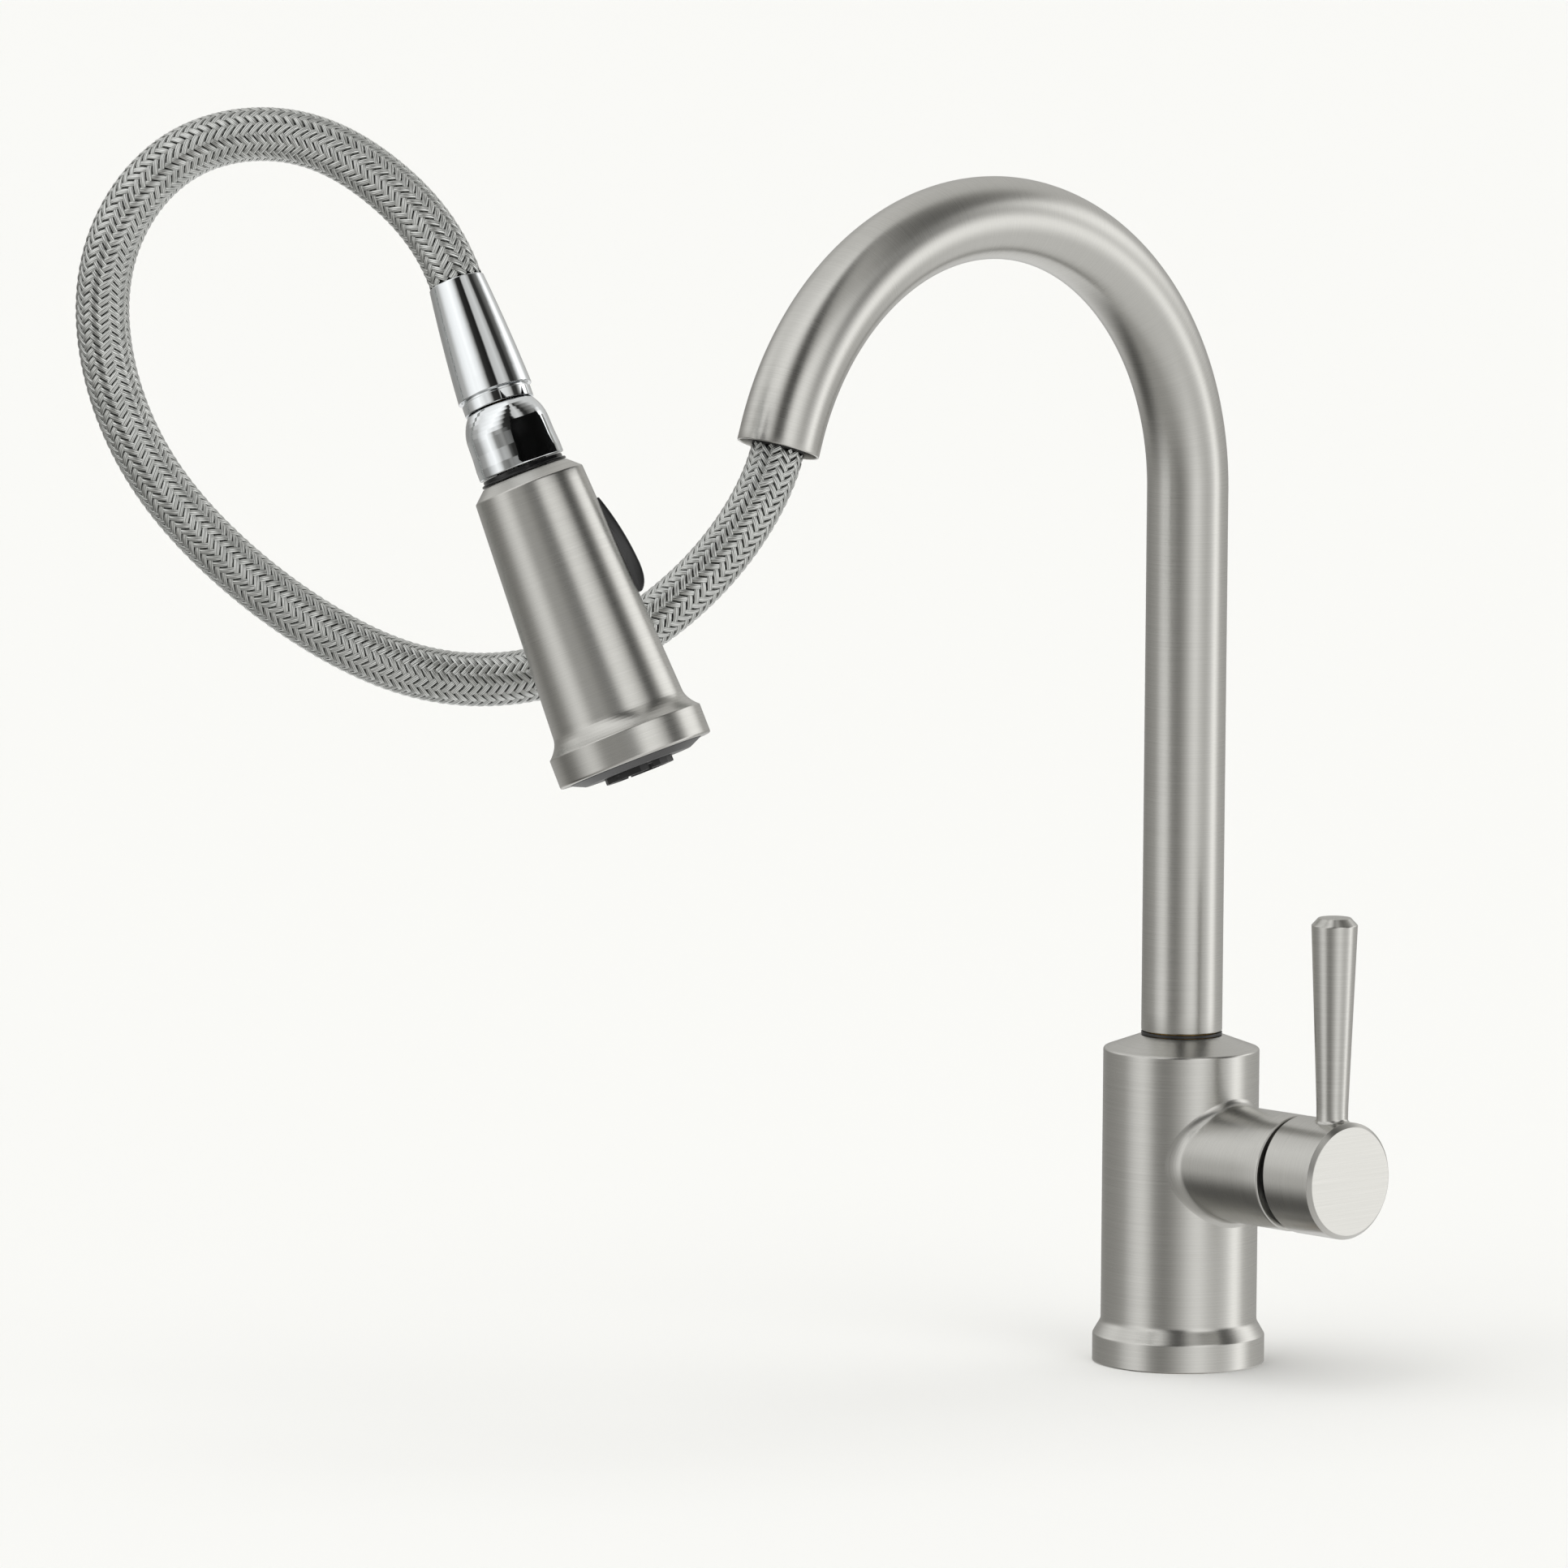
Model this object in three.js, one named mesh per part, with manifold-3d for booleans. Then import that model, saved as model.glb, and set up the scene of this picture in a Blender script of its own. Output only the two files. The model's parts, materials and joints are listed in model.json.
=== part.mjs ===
// Pull-down kitchen faucet: deck-mounted body with a side valve, a swivelling gooseneck spout, a braided
// hose and a spray wand on a ball joint. Millimetres, +Z up. The origin is the centre of the base on the
// deck, the spout reaches towards -Y and the handle is on the +X side.
import * as THREE from "three";
import { mergeVertices } from "three/addons/utils/BufferGeometryUtils.js";
import { NURBSCurve } from "three/addons/curves/NURBSCurve.js";
import Module from "manifold-3d";

const wasm = await Module();
wasm.setup();

// ---------------------------------------------------------------------------------------------- dimensions

const GAP = 0.3; // between pieces that touch
const BIG = 32; // sides of a round that shows
const SMALL = 20; // sides of a hidden or small round

const shank = { radius: 17, wall: 1.75, top: 11, bottom: -60 };

const base = {
  radius: 27.05,
  height: 8.8,
  flare: 4.2, // rise from the flange to the body
  floor: 12, // thickness of the floor that the shank screws into
  recessInner: shank.radius + 1.6,
  recessOuter: 25,
  recessDepth: 1.7,
};

const BODY_RADIUS = 24.5;
const body = {
  radius: BODY_RADIUS,
  shoulder: 99.3, // height where the top starts to slope in
  slope: 4.2, // rise of the sloping top
  cavity: BODY_RADIUS - 4, // radius of the hollow
  capUnder: 84, // underside of the top, which the spout turns in
  lip: 2, // thickness of the lip over the bushing
  landing: 0.2, // flat on the top, outside the spout
};

const deck = {
  thickness: 30,
  rubber: 2.5,
  steel: 1.8,
  washerRadius: 27,
  nut: 11,
  nutRadius: 24,
  screw: 2.4,
  screwPast: 4, // how far the screws stand out below the nut
  head: 3,
  headRadius: 3.3,
};

const HOSE_RADIUS = 8.2;
const hose = {
  radius: HOSE_RADIUS,
  offset: HOSE_RADIUS + 0.85 - (shank.radius - shank.wall), // moves over to clear the tubes
  bottom: -78,
  sides: 8,
  steps: 36,
  outletLead: 11,
  coneLead: 15,
};

const cartridge = {
  radius: 12.5,
  wall: 1.2,
  base: 1.6,
  end: 47,
  discRadius: 11,
  discThickness: 3,
  movingRadius: 8.7,
  movingThickness: 2.8,
  carrierThickness: 2.7,
  lipBore: 9.3, // opening at the outer end
  carrierNeck: 9, // radius of the stem carrier in that opening
  carrierPast: 2.5, // how far the stem carrier runs past the pivot
  mixingInset: 2.2, // rim left round the moving disc's pocket
  mixingDepth: 1.3,
};

const STUB_RADIUS = 18.25;
const valve = {
  height: 65.3,
  stubRadius: STUB_RADIUS,
  stubEnd: 51.7,
  bore: STUB_RADIUS - 2.85,
  housingStart: hose.radius + 1.4,
  housingEnd: 43.8,
  relief: 0.6, // room round the spout's spigot
  pocket: cartridge.radius + GAP, // the cartridge sits in it
  seat: 31, // where the cartridge rests
  port: 2, // radius of a water passage
};

const stem = {
  pivot: 48, // the pin that the handle tilts on
  pin: 1.2,
  half: 3.3, // half of the square bar
  round: 3.2, // radius of the round outer end
  squareStart: 43.6,
  squareEnd: 52,
  end: 66.2,
  tip: 2,
  tipEnd: 40,
  tipRoom: 0.7, // round the tip in the disc carrier
  slotRoom: 0.5, // beyond the stem at full tilt
  slotGap: 0.4, // on each side of the square bar
  pinSunk: 1.5, // how far the pin's ends are inside the carrier
  tilt: THREE.MathUtils.degToRad(12),
};

const dome = { radius: 13, wall: 0.8, hole: 7, flange: 0.8 };

const hub = {
  radius: STUB_RADIUS,
  topGap: 1.2, // to the stub, above
  bottomGap: 4.4, // to the stub, below, which the tilt closes
  end: 74.7,
  chamfer: 1.3,
  cavity: 15.5,
  cavityEnd: 61.5,
};

const setScrew = { radius: 2, x: 64, sunk: 0.6 };

const lever = {
  x: 66.5,
  baseRadius: 4.9,
  topRadius: 7.2,
  tipRadius: 5.05,
  top: 147,
  chamfer: 2.3,
  stud: 2.5,
  depth: 10, // how deep the stud goes into the hub
};

const spout = {
  radius: 12.7,
  wall: 0.8,
  spring: 275, // height where the bend starts
  bend: 89, // radius of the bend's centre line
  sweep: THREE.MathUtils.degToRad(162),
  bendSteps: 24, // pieces that the bend is made of
  tail: 5, // straight end after the bend
  ringThickness: 0.9,
  ringGap: 0.2, // under the ring
};

const SPOUT_BORE = spout.radius - spout.wall;
const spigot = {
  radius: SPOUT_BORE - 0.4,
  bore: hose.radius + 0.8,
  bottom: 78,
  top: 124,
  grooveDepth: 1,
  ringGroove: 2.3, // from its lower end to the retaining ring's groove
  ringGrooveHeight: 1.9,
};

const oRing = { groove: 3, minor: 1.1, z: 90 };

const bushing = { wall: 1.5, flange: 2.6, flangeThickness: 1.2, ringRoom: 2.6 };

// The guide sits between two of the bend's steps.
const guide = { first: 16, last: 18, radius: SPOUT_BORE - 0.55, bore: hose.radius + 0.9 };

// Control points of the free hose between its two ends, which the outlet and the cone give.
const HOSE_POINTS = [
  [-5, -190, 266],
  [-23, -209, 242],
  [-45, -232, 227],
  [-69, -258, 227],
  [-91, -282, 243],
  [-110, -302, 264],
  [-126, -319, 290],
  [-135, -329, 323],
  [-133, -331, 359],
  [-116, -317, 390],
  [-88, -294, 396],
  [-64, -278, 382],
];

const copper = {
  radius: 3.2,
  wall: 0.8,
  below: 52, // how far the tubes run on below the shank
  straight: 16, // straight end of each tube
};

const fitting = {
  hex: 8,
  height: 12,
  overlap: 4, // how far the nut reaches up the tube
  spigot: 5,
  spigotLength: 12,
};

const connector = {
  proud: 0.6, // how much wider than the hose it is
  height: 10,
  spigot: 5,
  spigotLength: 12,
  bore: 2.5,
};

const joint = {
  ball: new THREE.Vector3(-21.2, -265.5, 306.4),
  ballRadius: 6.2,
  coneHeading: THREE.MathUtils.degToRad(8.3),
  coneLean: THREE.MathUtils.degToRad(25.3),
  wandHeading: THREE.MathUtils.degToRad(27.3),
  wandLean: THREE.MathUtils.degToRad(23),
  buttonTurn: THREE.MathUtils.degToRad(42),
};

const CONE_BASE = SPOUT_BORE - 0.45; // it goes into the spout
const cone = {
  top: 48.4, // from the ball's centre
  base: 12.3,
  topRadius: hose.radius + 0.3,
  middle: 24, // the side bows out a little here
  middleRadius: CONE_BASE - 0.7,
  baseRadius: CONE_BASE,
  neckRadius: CONE_BASE - 0.75,
  grooveRadius: CONE_BASE - 1.25,
  groove: 0.8,
  bore: 5.3,
};

const ballStem = { neck: 4, bore: 2.6, step: 14, sunk: 3 }; // the step is where it widens to fill the cone

const SEAT_INNER = joint.ballRadius + GAP;
const seat = {
  inner: SEAT_INNER,
  outer: SEAT_INNER + 1.05,
  from: THREE.MathUtils.degToRad(55), // from the axis
  to: THREE.MathUtils.degToRad(125),
};

// The bell's top is part of a sphere about the ball's centre, which the cone's hollow neck slides over.
const bell = {
  dome: SPOUT_BORE + 1,
  top: 9.2,
  opening: 6.6,
  radius: 13.3,
  bottom: -11,
  socket: seat.outer + 0.35,
};

const collar = { stepRadius: 12.5, radius: 13.3, step: 1.2, height: 1.9 };

const wand = {
  topRadius: 13.3,
  chamferRadius: 17.05,
  chamfer: 3.4,
  lowRadius: 20.65,
  flangeRadius: 24,
  length: 91.8,
  flange: 9.4,
  flare: 4.4,
  wall: 1.5,
  mouth: 21.1, // radius of the opening for the spray face
  mouthDepth: 6.6,
  inlet: bell.socket - 0.4, // radius of the inlet spigot
};

const waterway = {
  radius: 9.5,
  inletBore: 3.6,
  chamber: 4.8,
  chamberTop: -30,
  foot: 18.2,
  footThickness: 3,
  shoulderGap: 2, // below the top wall of the shell
  earGap: 0.4, // on each side of the button
  ear: 1.4,
  earHalfHeight: 3,
  earReach: 1.6, // past the pin's centre
};

const button = {
  from: -27.6,
  to: -58.4,
  half: 5.6,
  pivotX: 12.5,
  pivotZ: -43,
  boss: 2.7,
  inner: 13.2,
  clearance: 1,
  pin: 1.2,
  lowest: 19.6, // how far out the outline is at its lower end
  widest: 22.4, // and near it, where a thumb presses
  highest: 17.5, // and at its upper end
};

const spool = {
  radius: 2.2,
  head: 3,
  z: -52,
  from: 1,
  to: 12.3,
  clear: 1.8, // from its head to the core
};

const seal = { minor: 0.9, major: 4.6 };

const checkValve = { below: 4, length: 11, bore: 1.6 };

const face = { radius: 20.8, lowRadius: 16.8, proud: 1.9, bore: 11 };

const mat = { thickness: 1.4, inner: 11.6, outer: 18.6 };

const aerator = {
  radius: 10.7,
  wall: 2,
  proud: 3.8,
  notches: 6,
  notch: 1.4,
  screenDepth: 0.6, // from the rim of the wand down to the screen
  screen: 1,
};

// ------------------------------------------------------------------------------------------- shape helpers

// Wraps a closed geometry as a solid that can be joined and cut.
function solid(geometry) {
  const bare = geometry.clone().deleteAttribute("normal").deleteAttribute("uv");
  const merged = mergeVertices(bare, 1e-3);
  const corners = [];
  for (let i = 0; i < merged.index.count; i += 3) {
    const [a, b, c] = merged.index.array.slice(i, i + 3);
    if (a !== b && b !== c && c !== a) corners.push(a, b, c);
  }
  return new wasm.Manifold(
    new wasm.Mesh({
      numProp: 3,
      vertProperties: merged.attributes.position.array,
      triVerts: new Uint32Array(corners),
    }),
  );
}

// Turns a solid back into a geometry.
function geometryOf(made) {
  const { vertProperties, triVerts } = made.getMesh();
  return new THREE.BufferGeometry()
    .setAttribute("position", new THREE.BufferAttribute(vertProperties, 3))
    .setIndex(new THREE.BufferAttribute(triVerts, 1));
}

// The first solid with every other one cut out of it.
function cut(first, ...others) {
  return others.reduce((left, other) => left.subtract(other), first);
}

// The solids joined into one.
function join(...all) {
  return all.reduce((left, other) => left.add(other));
}

// A solid of revolution about Z. The outline is [radius, height] pairs, anticlockwise, from the axis at the
// bottom round to the axis at the top, or closed on itself for a ring.
function turned(outline, sides = BIG) {
  const onAxis = outline[0][0] === 0 && outline.at(-1)[0] === 0;
  const points = onAxis ? outline : [...outline, outline[0]];
  const lathe = new THREE.LatheGeometry(points.map(([r, z]) => new THREE.Vector2(r, z)), sides);
  return solid(lathe.rotateX(Math.PI / 2));
}

// The same about a line along X, with the outline's heights measured along X.
function turnedAlongX(outline, sides = BIG) {
  const made = turned(outline, sides);
  return solid(geometryOf(made).rotateY(Math.PI / 2));
}

// Moves a solid.
function moved(made, x, y, z) {
  return made.translate([x, y, z]);
}

// A solid cylinder about Z between two heights.
function rod(radius, from, to, sides = SMALL) {
  return turned([[0, from], [radius, from], [radius, to], [0, to]], sides);
}

// A solid cylinder about X between two places.
function rodAlongX(radius, from, to, sides = SMALL) {
  return turnedAlongX([[0, from], [radius, from], [radius, to], [0, to]], sides);
}

// A solid cylinder about Y, centred on the origin.
function rodAlongY(radius, half, sides = SMALL) {
  return solid(new THREE.CylinderGeometry(radius, radius, 2 * half, sides));
}

// A ring about Z between two radii and two heights.
function ring(inner, outer, from, to, sides = SMALL) {
  return turned([[inner, from], [outer, from], [outer, to], [inner, to]], sides);
}

// A box from its lowest and highest corners.
function box(low, high) {
  const size = high.map((value, i) => value - low[i]);
  const centre = high.map((value, i) => (value + low[i]) / 2);
  return moved(solid(new THREE.BoxGeometry(...size)), ...centre);
}

// Points of an arc of a circle about the axis, by angle from +Z, as [radius, height] pairs.
function arc(radius, from, to, steps, centre = 0) {
  return Array.from({ length: steps + 1 }, (_, i) => {
    const angle = from + ((to - from) * i) / steps;
    return [radius * Math.sin(angle), centre + radius * Math.cos(angle)];
  });
}

// A round section with the given number of sides, with a hole if an inner radius is given.
function section(outer, inner, sides) {
  const polygon = (radius) =>
    Array.from({ length: sides }, (_, i) => {
      const angle = (2 * Math.PI * i) / sides;
      return new THREE.Vector2(radius * Math.cos(angle), radius * Math.sin(angle));
    });
  const shape = new THREE.Shape(polygon(outer));
  if (inner) shape.holes.push(new THREE.Path(polygon(inner)));
  return shape;
}

// A tube or a solid cord along a curve.
function along(curve, outer, inner, sides, steps) {
  const options = { steps, extrudePath: curve, bevelEnabled: false };
  return solid(new THREE.ExtrudeGeometry(section(outer, inner, sides), options));
}

// A clamped cubic curve that its inner control points only guide.
function guided(points) {
  const degree = 3;
  const spans = points.length - degree;
  const inner = Array.from({ length: spans - 1 }, (_, i) => (i + 1) / spans);
  const knots = [...Array(degree + 1).fill(0), ...inner, ...Array(degree + 1).fill(1)];
  const control = points.map((p) => new THREE.Vector4(p.x, p.y, p.z, 1));
  return new NURBSCurve(degree, knots, control);
}

// The spout's centre line in the YZ plane: one step straight up, equal steps round the bend, and one step
// along the straight end. It stops short of the end by backOff.
class SpoutLine extends THREE.Curve {
  constructor(from, backOff = 0) {
    super();
    this.from = from;
    this.tail = spout.tail - backOff;
    this.steps = spout.bendSteps + 2;
  }
  getPoint(t, target = new THREE.Vector3()) {
    const step = t * this.steps;
    const rise = Math.min(step, 1) * (spout.spring - this.from);
    const angle = THREE.MathUtils.clamp((step - 1) / spout.bendSteps, 0, 1) * spout.sweep;
    const past = Math.max(step - 1 - spout.bendSteps, 0) * this.tail;
    const y = -spout.bend * (1 - Math.cos(angle)) - past * Math.sin(angle);
    const z = this.from + rise + spout.bend * Math.sin(angle) + past * Math.cos(angle);
    return target.set(0, y, z);
  }
  getPointAt(t, target) {
    return this.getPoint(t, target);
  }
  getTangentAt(t, target) {
    return this.getTangent(t, target);
  }
}

// One stretch of another curve.
class Stretch extends THREE.Curve {
  constructor(whole, from, to) {
    super();
    this.whole = whole;
    this.from = from;
    this.to = to;
  }
  getPoint(t, target) {
    return this.whole.getPoint(this.from + (this.to - this.from) * t, target);
  }
}

// A line through pairs of points, straight down within each pair and with a soft S from one pair to the
// next.
function downThrough(...pairs) {
  const line = new THREE.CurvePath();
  pairs.forEach(([high, low], i) => {
    line.add(new THREE.LineCurve3(high, low));
    if (i === pairs.length - 1) return;
    const next = pairs[i + 1][0];
    const middle = (low.z + next.z) / 2;
    const leave = low.clone().setZ(middle);
    const arrive = next.clone().setZ(middle);
    line.add(new THREE.CubicBezierCurve3(low, leave, arrive, next));
  });
  return line;
}

// ----------------------------------------------------------------------------------------------- materials

const finishes = {
  nickel: { color: 0xb2aea6, metalness: 1, roughness: 0.35 },
  chrome: { color: 0xd8dadb, metalness: 1, roughness: 0.06 },
  brass: { color: 0xb08d4f, metalness: 1, roughness: 0.4 },
  steel: { color: 0xa7a9ab, metalness: 1, roughness: 0.35 },
  copper: { color: 0xb87353, metalness: 1, roughness: 0.35 },
  braid: { color: 0x8f9192, metalness: 1, roughness: 0.4 },
  black: { color: 0x141515, metalness: 0, roughness: 0.4 },
  rubber: { color: 0x1c1c1c, metalness: 0, roughness: 0.8 },
  acetal: { color: 0xe9e8e2, metalness: 0, roughness: 0.45 },
  ceramic: { color: 0xf2efe8, metalness: 0, roughness: 0.2 },
  silicone: { color: 0x3a3c3e, metalness: 0, roughness: 0.6 },
};

// Adds one named piece to a group.
function piece(group, name, finish, made) {
  const mesh = new THREE.Mesh(geometryOf(made), new THREE.MeshStandardMaterial(finishes[finish]));
  mesh.name = name;
  group.add(mesh);
}

const faucet = new THREE.Group();

// --------------------------------------------------------------------------------------- body and mounting

const bodyTop = body.shoulder + body.slope;
const bushingTop = bodyTop - body.lip - GAP;
const bushingRadius = spigot.radius + GAP + bushing.wall;

function bodyShell() {
  const outside = turned([
    [0, 0],
    [base.radius, 0],
    [base.radius, base.height],
    [body.radius, base.height + base.flare],
    [body.radius, body.shoulder],
    [spout.radius + body.landing, bodyTop],
    [0, bodyTop],
  ]);
  const stub = moved(rodAlongX(valve.stubRadius, 0, valve.stubEnd, BIG), 0, 0, valve.height);
  const hollow = turned([
    [0, -1],
    [shank.radius + GAP, -1],
    [shank.radius + GAP, base.floor],
    [body.cavity, base.floor],
    [body.cavity, body.capUnder],
    [bushingRadius + GAP, body.capUnder],
    [bushingRadius + GAP, bodyTop - body.lip],
    [spigot.radius + GAP, bodyTop - body.lip],
    [spigot.radius + GAP, bodyTop + 1],
    [0, bodyTop + 1],
  ]);
  const bore = moved(rodAlongX(valve.bore, 0, valve.stubEnd + 1, BIG), 0, 0, valve.height);
  const recess = ring(base.recessInner, base.recessOuter, -1, base.recessDepth);
  return cut(join(outside, stub), hollow, bore, recess);
}

piece(faucet, "body_shell", "nickel", bodyShell());
const gasketTop = base.recessDepth - GAP;
piece(faucet, "base_gasket", "rubber", ring(base.recessInner + GAP, base.recessOuter - GAP, 0, gasketTop));
const shankBore = shank.radius - shank.wall;
piece(faucet, "mounting_shank", "brass", ring(shankBore, shank.radius, shank.bottom, shank.top));

const rubberBottom = -deck.thickness - deck.rubber;
const steelTop = rubberBottom - GAP;
const nutTop = steelTop - deck.steel - GAP;
const nutBottom = nutTop - deck.nut;
const clampRadius = shank.radius + GAP;
const rubberWasher = ring(clampRadius, deck.washerRadius, rubberBottom, -deck.thickness);
piece(faucet, "deck_rubber_washer", "rubber", rubberWasher);
const washerInner = clampRadius + GAP;
const steelWasher = ring(washerInner, deck.washerRadius, steelTop - deck.steel, steelTop);
piece(faucet, "deck_steel_washer", "steel", steelWasher);

const screwPlaces = [0, 1].map((i) => {
  const angle = Math.PI * i + Math.PI / 2;
  const radius = (clampRadius + deck.nutRadius) / 2;
  return [radius * Math.cos(angle), radius * Math.sin(angle)];
});
const screwHole = rod(deck.screw + GAP, nutBottom - 1, nutTop + 1, 12);
const screwHoles = screwPlaces.map(([x, y]) => moved(screwHole, x, y, 0));
const plainNut = ring(clampRadius, deck.nutRadius, nutBottom, nutTop);
piece(faucet, "mounting_nut", "brass", cut(plainNut, ...screwHoles));
screwPlaces.forEach(([x, y], i) => {
  const headTop = nutBottom - deck.screwPast;
  const shaft = rod(deck.screw, headTop, nutTop - GAP, 12);
  const head = rod(deck.headRadius, headTop - deck.head, headTop, 12);
  piece(faucet, `nut_screw_${i + 1}`, "steel", moved(join(shaft, head), x, y, 0));
});

// ----------------------------------------------------------------------------------- waterways in the body

// The three copper tubes: where each meets the valve housing, where it passes down the shank, and its end.
const tubes = {
  hot: { valve: [14, 8.2], shank: [6, 9.2], end: [16, 20], passage: [5, -4] },
  cold: { valve: [14, -8.2], shank: [6, -9.2], end: [16, -20], passage: [-5, -4] },
  mixed: { valve: [14.4, 0], shank: [11, 0], end: [27, 0], passage: [0, 5] },
};
const tubeBottom = shank.bottom - copper.below;
const passageReach = 2; // how far a tube's socket runs past the middle of its passage

function valveHousing() {
  const block = rodAlongX(valve.bore - GAP, valve.housingStart, valve.housingEnd, BIG);
  const pocket = rodAlongX(valve.pocket, valve.seat, valve.housingEnd + 1, BIG);
  const sockets = Object.values(tubes).map(({ valve: [x, y], passage: [, z] }) =>
    moved(rod(copper.radius + GAP, -valve.bore - 1, z + passageReach, 12), x, y, 0),
  );
  const passages = Object.values(tubes).map(({ valve: [x], passage: [y, z] }) =>
    moved(rodAlongX(valve.port, x, valve.seat + 1, 12), 0, y, z),
  );
  const spigotBottom = spigot.bottom - valve.height;
  const relief = rod(spigot.radius + valve.relief, spigotBottom - valve.relief, valve.bore);
  return moved(cut(block, pocket, relief, ...sockets, ...passages), 0, 0, valve.height);
}

function copperTube({ valve: [x, y], shank: [sx, sy], end: [ex, ey], passage: [, z] }) {
  const line = downThrough(
    [new THREE.Vector3(x, y, valve.height + z - 1), new THREE.Vector3(x, y, valve.height - valve.bore - 2)],
    [new THREE.Vector3(sx, sy, base.floor + 2), new THREE.Vector3(sx, sy, shank.bottom)],
    [new THREE.Vector3(ex, ey, tubeBottom + copper.straight), new THREE.Vector3(ex, ey, tubeBottom)],
  );
  return along(line, copper.radius, copper.radius - copper.wall, 8, 18);
}

// A hexagonal union nut with a spigot below, which the supply line or the wand's hose screws to.
function unionNut([x, y]) {
  const top = tubeBottom + fitting.overlap;
  const hex = rod(fitting.hex, top - fitting.height, top, 6);
  const spigotBottom = top - fitting.height - fitting.spigotLength;
  const end = rod(fitting.spigot, spigotBottom, top - fitting.height + 1, 16);
  const socket = rod(copper.radius + GAP, tubeBottom - GAP, top + 1, 12);
  const bore = rod(copper.radius - copper.wall, spigotBottom - 1, top, 12);
  return moved(cut(join(hex, end), socket, bore), x, y, 0);
}

piece(faucet, "valve_housing", "brass", valveHousing());
for (const [name, place] of Object.entries(tubes)) {
  const side = name === "mixed" ? "outlet" : "inlet";
  piece(faucet, `${name}_${side}_tube`, "copper", copperTube(place));
  piece(faucet, `${name}_${side}_fitting`, "brass", unionNut(place.end));
}

// ----------------------------------------------------------------------------------------- valve cartridge

const cartridgeStart = valve.seat + GAP;
const fixedStart = cartridgeStart + cartridge.base + GAP;
const movingStart = fixedStart + cartridge.discThickness + GAP;
const carrierStart = movingStart + cartridge.movingThickness + GAP;
const stemCarrierStart = carrierStart + cartridge.carrierThickness + GAP;
const portHoles = (from, to) =>
  Object.values(tubes).map(({ passage: [y, z] }) => moved(rodAlongX(valve.port, from, to, 12), 0, y, z));

// Pieces of the valve are made about its own axis.
const valveGroup = new THREE.Group();
valveGroup.position.z = valve.height;
faucet.add(valveGroup);

const cartridgeBore = cartridge.radius - cartridge.wall;
const lipStart = cartridge.end - cartridge.wall;
const cup = turnedAlongX(
  [
    [0, cartridgeStart],
    [cartridge.radius, cartridgeStart],
    [cartridge.radius, cartridge.end],
    [cartridge.lipBore, cartridge.end],
    [cartridge.lipBore, lipStart],
    [cartridgeBore, lipStart],
    [cartridgeBore, cartridgeStart + cartridge.base],
    [0, cartridgeStart + cartridge.base],
  ],
  SMALL,
);
piece(valveGroup, "cartridge_shell", "acetal", cut(cup, ...portHoles(cartridgeStart - 1, fixedStart)));

const fixedEnd = fixedStart + cartridge.discThickness;
const fixedDisc = rodAlongX(cartridge.discRadius, fixedStart, fixedEnd);
const fixedPorts = portHoles(fixedStart - 1, fixedEnd + 1);
piece(valveGroup, "fixed_ceramic_disc", "ceramic", cut(fixedDisc, ...fixedPorts));

const movingEnd = movingStart + cartridge.movingThickness;
const movingDisc = rodAlongX(cartridge.movingRadius, movingStart, movingEnd);
const mixingPocket = rodAlongX(
  cartridge.movingRadius - cartridge.mixingInset,
  movingStart - 1,
  movingStart + cartridge.mixingDepth,
);
piece(valveGroup, "moving_ceramic_disc", "ceramic", cut(movingDisc, mixingPocket));

const discCarrierEnd = carrierStart + cartridge.carrierThickness;
const tipHole = rodAlongX(stem.tip + stem.tipRoom, carrierStart - 1, discCarrierEnd + 1, 16);
const discCarrier = rodAlongX(cartridge.movingRadius, carrierStart, discCarrierEnd);
piece(valveGroup, "disc_carrier", "acetal", cut(discCarrier, tipHole));

// The stem's carrier turns in the cartridge for temperature, and its slot lets the stem tilt for flow.
const carrierEnd = stem.pivot + cartridge.carrierPast;
const swing = (stem.pivot - stemCarrierStart) * Math.tan(stem.tilt);
const slotHalf = stem.half / Math.cos(stem.tilt) + swing + stem.slotRoom;
const carrierOutline = [
  [0, stemCarrierStart],
  [cartridgeBore - GAP, stemCarrierStart],
  [cartridgeBore - GAP, lipStart - GAP],
  [cartridge.carrierNeck, lipStart - GAP],
  [cartridge.carrierNeck, carrierEnd],
  [0, carrierEnd],
];
const stemSlot = box(
  [stemCarrierStart - 1, -stem.half - stem.slotGap, -slotHalf],
  [carrierEnd + 1, stem.half + stem.slotGap, slotHalf],
);
const carrierPinHole = moved(rodAlongY(stem.pin + GAP, cartridge.carrierNeck + 1, 16), stem.pivot, 0, 0);
const plainCarrier = turnedAlongX(carrierOutline, SMALL);
piece(valveGroup, "stem_carrier", "acetal", cut(plainCarrier, stemSlot, carrierPinHole));
const stemPin = rodAlongY(stem.pin, cartridge.carrierNeck - stem.pinSunk, 16);
piece(valveGroup, "stem_pin", "steel", moved(stemPin, stem.pivot, 0, 0));

const nutStart = valve.housingEnd + GAP;
const nutEnd = valve.stubEnd - dome.flange - GAP;
const nutOutline = [
  [cartridge.radius + GAP, nutStart],
  [valve.bore - GAP, nutStart],
  [valve.bore - GAP, nutEnd],
  [cartridge.carrierNeck + 1.4, nutEnd],
  [cartridge.carrierNeck + 1.4, cartridge.end + GAP],
  [cartridge.radius + GAP, cartridge.end + GAP],
];
piece(valveGroup, "cartridge_nut", "brass", turnedAlongX(nutOutline, SMALL));

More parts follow.
